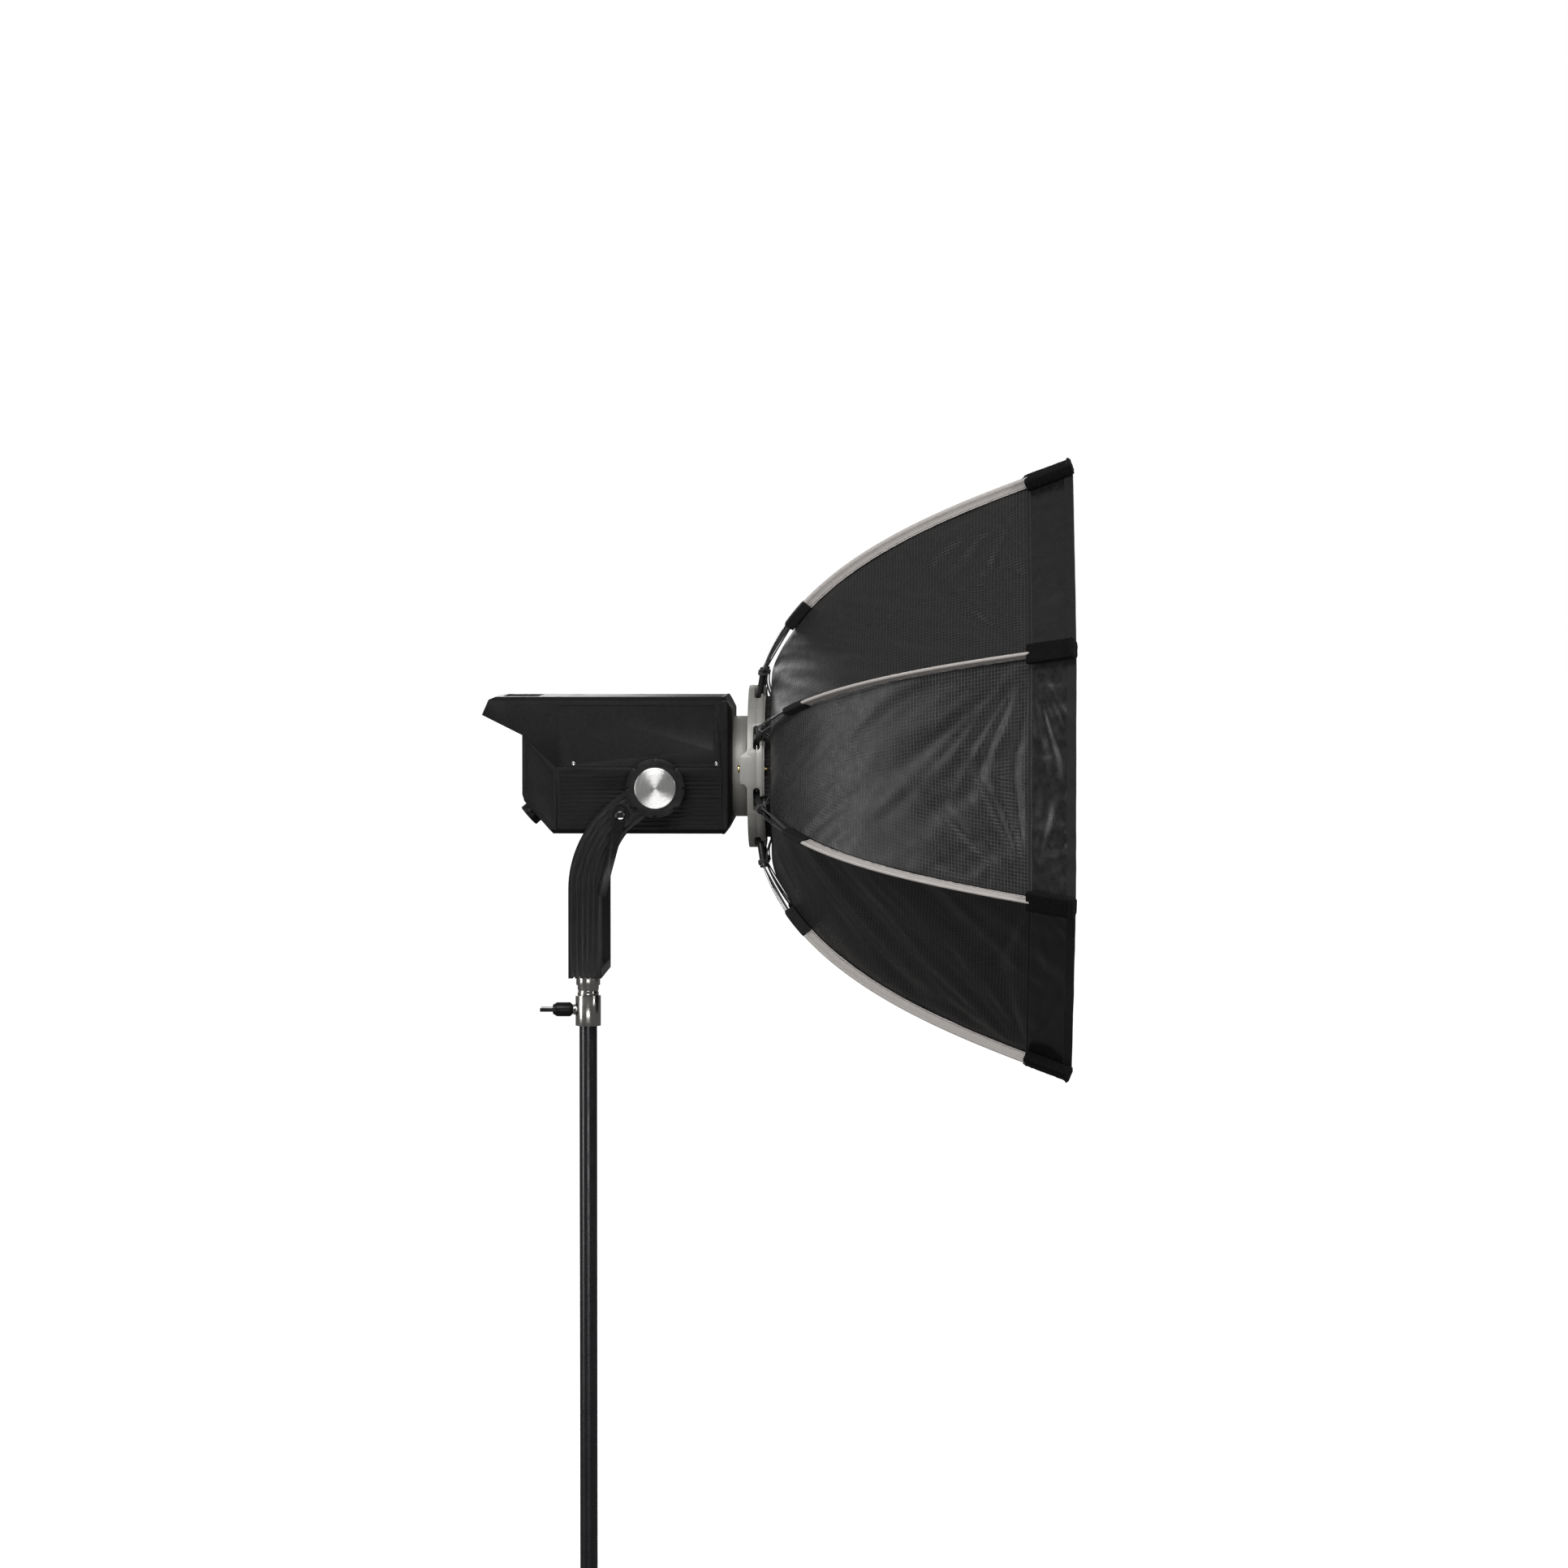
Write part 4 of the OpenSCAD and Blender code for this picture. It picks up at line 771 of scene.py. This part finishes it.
for i in range(R):
    for j in range(C):
        x, y = turn_of[j], along_m[i]
        u = (x % 1 - 0.5) * width_of[i]
        g = int(x)
        c, d = math.cos(lean[g]), math.sin(lean[g])
        run, over = y * c + u * d, u * c - y * d
        long_fold = (calm_fold if g in calm_gores else deep_fold) * ridge(over * 17, run * 3.0, g * 7.3)
        short_fold = 0.0019 * ridge(over * 42, run * 8, g * 3.1 + 40)
        folds = (long_fold + short_fold) * rear_fade[i] + strap_pull * pulls(u, y, width_of[i] / 2, g)
        skirt = ridge(u * 28 + 5 * g, y * 11 + u * 7, 3.3) + 0.14 * ridge(u * 60, y * 24, g + 0.3)
        gatherer = noise.noise(Vector((x * 34, y * 8, 9.1)))
        crease[i, j] = quiet[j] * (folds * (1 - 0.4 * in_skirt[i]) * (1 - 0.7 * near_seam[i])
                                   + skirt_fold * in_skirt[i] * skirt + hem_gather * near_hem[i] * gatherer)
crease[1:-1] = (crease[:-2] + 2 * crease[1:-1] + crease[2:]) / 4
crease = (np.roll(crease, 1, 1) + 2 * crease + np.roll(crease, -1, 1)) / 4
crease[-5:] *= np.array([0.85, 0.6, 0.45, 0.35, 0.3])[:, None]
surface = surface + surface_normals(surface) * crease[..., None]
normal = surface_normals(surface)
print("creases up to", round(float(abs(crease).max()) * 1000, 2), "mm")

# %% Cut the canopy into one piece for each rib
cloth_t = 0.0008


def rib_columns(k):
    return [((k - 1) * 2 * across_cells + j) % C for j in range(-half, half + 1)]


def canopy_piece(k):
    cols = rib_columns(k)
    top, n = surface[:, cols], normal[:, cols]
    under = top - n * cloth_t
    w = len(cols)
    at = lambda i, j, low=0: low * R * w + i * w + j
    outer = [(at(i, j), at(i, j + 1), at(i + 1, j + 1), at(i + 1, j))
             for i in range(R - 1) for j in range(w - 1)]
    inner = [tuple(v + R * w for v in reversed(f)) for f in outer]
    edge = [(at(i + 1, 0), at(i + 1, 0, 1), at(i, 0, 1), at(i, 0)) for i in range(R - 1)]
    edge += [(at(i, w - 1), at(i, w - 1, 1), at(i + 1, w - 1, 1), at(i + 1, w - 1)) for i in range(R - 1)]
    edge += [(at(0, j), at(0, j, 1), at(0, j + 1, 1), at(0, j + 1)) for j in range(w - 1)]
    edge += [(at(R - 1, j + 1), at(R - 1, j + 1, 1), at(R - 1, j, 1), at(R - 1, j)) for j in range(w - 1)]
    mesh = bpy.data.meshes.new(f"canopy_cloth_{k}")
    mesh.from_pydata(np.vstack([top.reshape(-1, 3), under.reshape(-1, 3)]).tolist(), [], outer + inner + edge)
    mesh.materials.append(ripstop)
    mesh.materials.append(silver_lining)
    mesh.materials.append(satin_skirt)
    in_front = [2 if along_m[i] > seam_m else 0 for i in range(R - 1) for j in range(w - 1)]
    lined = [2 if f == 2 else 1 for f in in_front]
    mesh.polygons.foreach_set("material_index", in_front + lined + [0] * len(edge))
    cut = np.stack([np.broadcast_to(np.linspace(-0.5, 0.5, w), (R, w)) * width_of[:, None],
                    np.broadcast_to(along_m[:, None], (R, w))], -1).reshape(-1, 2)
    layer = mesh.uv_layers.new(name="cut")
    index = np.empty(len(mesh.loops), np.int32)
    mesh.loops.foreach_get("vertex_index", index)
    layer.data.foreach_set("uv", cut[index % (R * w)].astype(np.float32).ravel())
    if (Vector(normal[R // 2, cols[half]]) @ mesh.polygons[(R // 2) * (w - 1) + half].normal) < 0:
        mesh.flip_normals()
    for face in mesh.polygons:
        face.use_smooth = True
    directions = np.vstack([n.reshape(-1, 3), -n.reshape(-1, 3)])
    mesh.normals_split_custom_set_from_vertices(directions.tolist())
    piece = bpy.data.objects.new(f"canopy_cloth_{k}", mesh)
    bpy.context.collection.objects.link(piece)
    return piece


for k in range(1, 9):
    piece = canopy_piece(k)
    gather(piece, k)
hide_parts("canopy_panels")
print("gore, metres: widest", round(float(width_of.max()), 3), "long", round(line_length, 3))

# %% [markdown]
# ## Bands that follow the cloth
# The rim and the rear edge are bound with folded tape, and a flat seam joins the skirt to the
# gores where the diffuser hangs. Each band takes its line from the finished canopy.

# %% Bindings and seam


def row_at(metres, cols):
    """Points and normals of the canopy across one rib's piece, at a distance from its rear hem."""
    f = np.clip(metres / line_length * (R - 1), 0, R - 1)
    i = min(int(f), R - 2)
    share = f - i
    return (surface[i][cols] * (1 - share) + surface[i + 1][cols] * share,
            normal[i][cols] * (1 - share) + normal[i + 1][cols] * share)


def band(name, k, stops, finish):
    """stops is the band's section: (distance along the cloth, height above it) in metres."""
    cols = rib_columns(k)
    ends = row_at(line_length, cols)[0] - row_at(line_length - 0.004, cols)[0]
    ends /= np.linalg.norm(ends, axis=1, keepdims=True)
    rings = []
    for metres, height in stops:
        p, n = row_at(metres, cols)
        over = max(metres - line_length, 0) - max(-metres, 0)
        rings.append(p + n * height + ends * over)
    return shell_of(name, np.stack(rings, 1), finish)


def tape(first, last, up, down, cut=0.0005):
    return [(first, up - cut), (first + cut, up), (last - cut, up), (last, up - cut),
            (last, down + cut), (last - cut, down), (first + cut, down), (first, down + cut)]


for k in range(1, 9):
    sections = {
        "rim_binding": tape(line_length - 0.012, line_length + 0.0014, 0.0011, -0.0019),
        "rear_binding": tape(-0.0012, 0.010, 0.0012, -0.002),
        "skirt_seam": tape(seam_m - 0.0022, seam_m + 0.0012, 0.0004, -0.0011, 0.0002),
    }
    for name, stops in sections.items():
        piece = band(f"{name}_{k}", k, stops, hem_cloth)
        gather(piece, k)


def cuff(k):
    """The hem's elastic casing, which reaches back from the canopy's hem to the ring."""
    cols = rib_columns(k)
    hem = surface[0][cols]
    out = np.stack([np.zeros(len(cols)), hem[:, 1], hem[:, 2] - axis_z], -1)
    out /= np.linalg.norm(out, axis=1, keepdims=True)
    back = ring_front_x + 0.0008 - hem_x
    section = [(back, 0.0006), (back / 2, 0.0012), (0.001, 0.0008),
               (0.001, -0.0008), (back / 2, -0.0002), (back, -0.0006)]
    ruffle = np.array([0.0006 * math.sin(turn_of[c] * 84) for c in cols])[:, None]
    rings = np.stack([hem + out * (up + ruffle) + (shift, 0, 0) for shift, up in section], 1)
    return shell_of(f"hem_casing_{k}", rings, hem_cloth)


for k in range(1, 9):
    casing = cuff(k)
    gather(casing, k)
print("bindings: 32 bands")

# %% [markdown]
# ## Stitches and wires with Geometry Nodes
# A line of stitches and a wire both follow a path, which is what Geometry Nodes does well: one
# tree sets short threads along a line, another sweeps a round section. Both end in plain meshes.

# %% Node trees


def new_tree(name, inputs):
    tree = bpy.data.node_groups.new(name, "GeometryNodeTree")
    tree.interface.new_socket("Geometry", in_out="INPUT", socket_type="NodeSocketGeometry")
    for label, kind, value in inputs:
        socket = tree.interface.new_socket(label, in_out="INPUT", socket_type=kind)
        if value is not None:
            socket.default_value = value
    tree.interface.new_socket("Geometry", in_out="OUTPUT", socket_type="NodeSocketGeometry")
    return tree, tree.nodes.new("NodeGroupInput"), tree.nodes.new("NodeGroupOutput")


def finish_tree(tree, given, result, out):
    real = tree.nodes.new("GeometryNodeRealizeInstances")
    paint = tree.nodes.new("GeometryNodeSetMaterial")
    tree.links.new(result, real.inputs[0])
    tree.links.new(real.outputs[0], paint.inputs["Geometry"])
    tree.links.new(given.outputs["Finish"], paint.inputs["Material"])
    tree.links.new(paint.outputs[0], out.inputs[0])


stitch_tree, given, out = new_tree("stitch_line", [
    ("Pitch", "NodeSocketFloat", 0.0035), ("Stitch", "NodeSocketFloat", 0.0024),
    ("Thread", "NodeSocketFloat", 0.00035), ("Finish", "NodeSocketMaterial", None)])
as_curve = stitch_tree.nodes.new("GeometryNodeMeshToCurve")
stops = stitch_tree.nodes.new("GeometryNodeResampleCurve")
stops.mode = "LENGTH"
way = stitch_tree.nodes.new("GeometryNodeInputTangent")
turned = stitch_tree.nodes.new("FunctionNodeAlignEulerToVector")
turned.axis = "Z"
thread = stitch_tree.nodes.new("GeometryNodeMeshCylinder")
thread.inputs["Vertices"].default_value = 6
set_each = stitch_tree.nodes.new("GeometryNodeInstanceOnPoints")
join = stitch_tree.links.new
join(given.outputs["Geometry"], as_curve.inputs[0])
join(as_curve.outputs[0], stops.inputs["Curve"])
join(given.outputs["Pitch"], stops.inputs["Length"])
join(given.outputs["Thread"], thread.inputs["Radius"])
join(given.outputs["Stitch"], thread.inputs["Depth"])
join(way.outputs[0], turned.inputs["Vector"])
join(stops.outputs[0], set_each.inputs["Points"])
join(thread.outputs["Mesh"], set_each.inputs["Instance"])
join(turned.outputs[0], set_each.inputs["Rotation"])
finish_tree(stitch_tree, given, set_each.outputs[0], out)

wire_tree, given, out = new_tree("round_wire", [
    ("Radius", "NodeSocketFloat", 0.0015), ("Sides", "NodeSocketInt", 14),
    ("Finish", "NodeSocketMaterial", None)])
as_curve = wire_tree.nodes.new("GeometryNodeMeshToCurve")
circle = wire_tree.nodes.new("GeometryNodeCurvePrimitiveCircle")
sweep = wire_tree.nodes.new("GeometryNodeCurveToMesh")
sweep.inputs["Fill Caps"].default_value = True
smooth = wire_tree.nodes.new("GeometryNodeSetShadeSmooth")
join = wire_tree.links.new
join(given.outputs["Geometry"], as_curve.inputs[0])
join(given.outputs["Radius"], circle.inputs["Radius"])
join(given.outputs["Sides"], circle.inputs["Resolution"])
join(as_curve.outputs[0], sweep.inputs["Curve"])
join(circle.outputs["Curve"], sweep.inputs["Profile Curve"])
join(sweep.outputs[0], smooth.inputs["Geometry"])
finish_tree(wire_tree, given, smooth.outputs[0], out)


def from_lines(name, tree, lines, **values):
    """Runs a tree over polylines and returns a plain mesh object."""
    verts, edges = [], []
    for points in lines:
        edges += [(len(verts) + i, len(verts) + i + 1) for i in range(len(points) - 1)]
        verts += [tuple(p) for p in points]
    mesh = bpy.data.meshes.new(name)
    mesh.from_pydata(verts, edges, [])
    piece = bpy.data.objects.new(name, mesh)
    bpy.context.collection.objects.link(piece)
    runner = piece.modifiers.new(name, "NODES")
    runner.node_group = tree
    for item in tree.interface.items_tree:
        if item.item_type == "SOCKET" and item.in_out == "INPUT" and item.name in values:
            runner[item.identifier] = values[item.name]
    return apply_all(piece)


print("trees:", stitch_tree.name, wire_tree.name)

# %% Spring-steel rods
rod_radius, rod_seat = 0.0015, 0.012
for k in range(1, 9):
    seat = rod_foot - rod_seat * holder_way
    path = np.vstack([seat, rod_at(np.linspace(0, 1, 60))])
    rod = from_lines(f"steel_rod_{k}", wire_tree, [on_rib(k, path[:, 0], path[:, 1])],
                     Radius=rod_radius, Finish=spring_steel)
    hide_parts(f"rod_{k}")
    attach(rod, f"rib_{k}")
print("rods:", len(rod.data.polygons), "faces each")

# %% [markdown]
# ## Sleeves, caps and straps
# A grey tape sleeve stands up from each seam with the rod in its outer fold. Behind it a cap of
# doubled black webbing takes the pull, and in front a strap of brushed loop closes over the rod's tip.

# %% Grey sleeves


def section_along(k, ts, outline, wobble=0.0, seed=0):
    """Rings of points along a rib. outline(share) gives (across, inward) pairs."""
    rings = []
    for i, t in enumerate(ts):
        p, q = rod_at(t), inward_at(t)
        shake = wobble * noise.noise(Vector((i * 0.31, k * 5.7, seed)))
        rings.append([on_rib(k, p[0] + q[0] * d, p[1] + q[1] * d, a + shake * (d > 0.003))
                      for a, d in outline(i / (len(ts) - 1))])
    return rings


def sleeve_outline(share):
    side = [(0.0, -0.0026), (0.0012, -0.0023), (0.0021, -0.0013), (0.0025, 0.0002), (0.0023, 0.0018),
            (0.0017, 0.0034), (0.0015, 0.0060), (0.0015, 0.0090), (0.0018, 0.0108), (0.0024, 0.0122)]
    return side + [(-a, d) for a, d in side[:0:-1]]


for k in range(1, 9):
    rings = section_along(k, np.linspace(0.210, 0.872, 150), sleeve_outline, 0.0005, 2.0)
    sleeve = shell_of(f"rod_sleeve_{k}", rings, sleeve_cloth)
    if k == 1:
        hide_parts("rod_sleeves")
    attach(sleeve, f"rib_{k}")
    ts = np.linspace(0.214, 0.868, 200)
    p, q = rod_at(ts), inward_at(ts)
    at = p + 0.0104 * q
    lines = [on_rib(k, at[:, 0], at[:, 1], side * 0.0019) for side in (-1, 1)]
    seam = from_lines(f"sleeve_stitches_{k}", stitch_tree, lines,
                      Pitch=0.0034, Stitch=0.0023, Finish=black_thread)
    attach(seam, f"rib_{k}")
print("sleeve faces:", len(sleeve.data.polygons), "stitch faces:", len(seam.data.polygons))

# %% Webbing caps


def rounded_bar(half_wide, up, down, cut, bulge):
    def outline(share):
        fat = 1 + bulge * math.sin(math.pi * share)
        end = 1 - 0.35 * max(0, 1 - min(share, 1 - share) / 0.06)
        w, u, d = half_wide * fat, up * end, down * (1 - 0.1 * (1 - end))
        right = [(w - cut, -u), (w, cut - u), (w, d - cut), (w - cut, d)]
        corners = right + [(-a, b) for a, b in reversed(right)]
        return [c for a, b in zip(corners, corners[1:] + corners[:1])
                for c in (a, ((a[0] + b[0]) / 2, (a[1] + b[1]) / 2))]
    return outline


for k in range(1, 9):
    outline = rounded_bar(0.0042, 0.0030, 0.0124, 0.0012, 0.05)
    rings = section_along(k, np.linspace(0.135, 0.217, 24), outline, 0.0003, 5.0)
    cap = shell_of(f"webbing_cap_{k}", rings, webbing)
    if k == 1:
        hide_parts("rear_caps")
    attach(cap, f"rib_{k}")
print("cap faces:", len(cap.data.polygons))

# %% Loop straps


def felt_outline(share):
    """A soft pad: rounded all round, fuller at its middle, with a rolled end over the rim's corner."""
    end = min(1.0, 0.55 + 0.45 * min(share / 0.05, (1 - share) / 0.03))
    roll = math.exp(-((share - 0.955) / 0.03)**2)
    wide, up, down = 0.0140 * (0.93 + 0.07 * end), (0.0024 + 0.0030 * roll) * end, 0.0146
    sides, squareness = 56, 0.42
    points = []
    for a in np.arange(sides) * math.tau / sides:
        c, d = math.cos(a), math.sin(a)
        deep = down if d > 0 else up
        points.append((wide * math.copysign(abs(c)**squareness, c), deep * math.copysign(abs(d)**0.7, d)))
    return points


def roughen(piece, size, height):
    """Moves the surface in and out by noise, for the pile of a loop fabric."""
    for vertex in piece.data.vertices:
        lift = noise.fractal(vertex.co / size, 0.7, 2.1, 3)
        vertex.co += vertex.normal * height * lift


for k in range(1, 9):
    rings = section_along(k, np.linspace(0.862, 1.006, 90), felt_outline, 0.0006, 8.0)
    strap = shell_of(f"loop_strap_{k}", rings, brushed_loop)
    roughen(strap, 0.0032, 0.0006)
    if k == 1:
        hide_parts("front_straps")
    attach(strap, f"rib_{k}")
print("strap faces:", len(strap.data.polygons))

# %% [markdown]
# ## Elastic ties
# The rear hem hangs from the ribs: a loop of black elastic goes round each holder, runs along both
# sides of the bare rod and is sewn under the cap. A second, shorter loop holds the corner of the hem.

# %% Ties
holder_radius, tie_radius = 0.0052, 0.0011


def beside_rod(k, side, steps=26):
    """One run of the loop, from the holder's tip to the cap, held at both ends."""
    line_points = []
    for step in range(steps + 1):
        share = step / steps
        t = 0.145 * share
        p, q = rod_at(t), inward_at(t)
        belly = math.sin(math.pi * share)
        aside = side * (0.0058 * (1 - share) + 0.0026 * share + 0.0016 * belly)
        inward = 0.0020 * belly + 0.0035 * share
        line_points.append(on_rib(k, p[0] + q[0] * inward, p[1] + q[1] * inward, aside))
    return line_points


def wound(k, turns=2.6, steps=40):
    """Turns of elastic round the tip of the holder."""
    line_points = []
    for step in range(steps + 1):
        share = step / steps
        a = math.tau * turns * share
        back = 0.004 + 0.0052 * share
        wide = holder_radius + tie_radius
        across = np.array([holder_way[1], -holder_way[0]]) * wide * math.cos(a)
        spot = rod_foot - back * holder_way + across
        line_points.append(on_rib(k, spot[0], spot[1], wide * math.sin(a)))
    return line_points


def hem_loop(k, side, steps=14):
    """From the holder's winding down to the hem's corner."""
    first = np.array(wound(k)[0])
    rib_column = (k - 1) * 2 * across_cells
    last = surface[2, (rib_column + 2 * side) % C] + 0.001 * normal[2, rib_column]
    shares = np.linspace(0, 1, steps + 1)[:, None]
    return list(first * (1 - shares) + last * shares + np.sin(np.pi * shares) * np.array([-0.003, 0, 0]))


for k in range(1, 9):
    tie = from_lines(f"elastic_tie_{k}", wire_tree, [beside_rod(k, 1), beside_rod(k, -1), wound(k),
                     hem_loop(k, 1), hem_loop(k, -1)], Radius=tie_radius, Sides=8, Finish=elastic)
    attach(tie, f"rib_{k}")
print("ties:", len(tie.data.polygons), "faces each")

# %% [markdown]
# ## The diffuser
# White cloth clipped inside the skirt. It is stretched, so it is nearly flat, with faint
# tension folds that run in from its eight corners.

# %% Diffuser
low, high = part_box("diffuser")
diffuser_radius = (high.z - low.z) / 2 / math.cos(half_gore)
diffuser_x = low.x


def diffuser_outline():
    """The canopy's inside at the diffuser, one point for every fourth column, as (y, z) from the axis."""
    edge, inset = [], 0.9935
    for j in range(0, C, 4):
        p = surface[:, j]
        i = int(np.argmax(p[:, 0] > diffuser_x))
        share = (diffuser_x - p[i - 1, 0]) / (p[i, 0] - p[i - 1, 0])
        y, z = (p[i - 1] * (1 - share) + p[i] * share)[1:]
        edge.append((y * inset, (z - axis_z) * inset))
    return edge


def diffuser_sheet(steps=48):
    edge = diffuser_outline()
    points, faces = [(0.0, 0.0)], []
    for ring in range(1, steps + 1):
        points += [(y * ring / steps, z * ring / steps) for y, z in edge]
    around = len(edge)
    following = [(j, (j + 1) % around) for j in range(around)]
    faces += [(0, 1 + a, 1 + b) for a, b in following]
    for ring in range(steps - 1):
        o = 1 + ring * around
        faces += [(o + a, o + around + a, o + around + b, o + b) for a, b in following]
    x = []
    for y, z in points:
        r = math.hypot(y, z) / diffuser_radius
        a = math.atan2(z, y)
        fold = noise.noise(Vector((math.cos(a) * 5, math.sin(a) * 5, r * 1.5))) * r * r * (1 - r**8)
        x.append(diffuser_x - 0.0005 - 0.004 * (1 - r * r) * 0.5 + 0.0016 * fold)
    top = [(x[i] + 0.0008, p[0], axis_z + p[1]) for i, p in enumerate(points)]
    under = [(x[i], p[0], axis_z + p[1]) for i, p in enumerate(points)]
    n, last = len(points), 1 + (steps - 1) * around
    faces += [tuple(v + n for v in reversed(f)) for f in faces]
    faces += [(last + a, last + a + n, last + b + n, last + b) for a, b in following]
    mesh = bpy.data.meshes.new("diffuser_cloth")
    mesh.from_pydata(top + under, [], faces)
    layer = mesh.uv_layers.new(name="cut")
    flat = [points[loop.vertex_index % n] for loop in mesh.loops]
    layer.data.foreach_set("uv", np.array(flat, np.float32).ravel())
    mesh.materials.append(white_cloth)
    return closed_piece("diffuser_cloth", mesh)


diffuser = diffuser_sheet()
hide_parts("diffuser")
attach(diffuser, body_of["diffuser"])
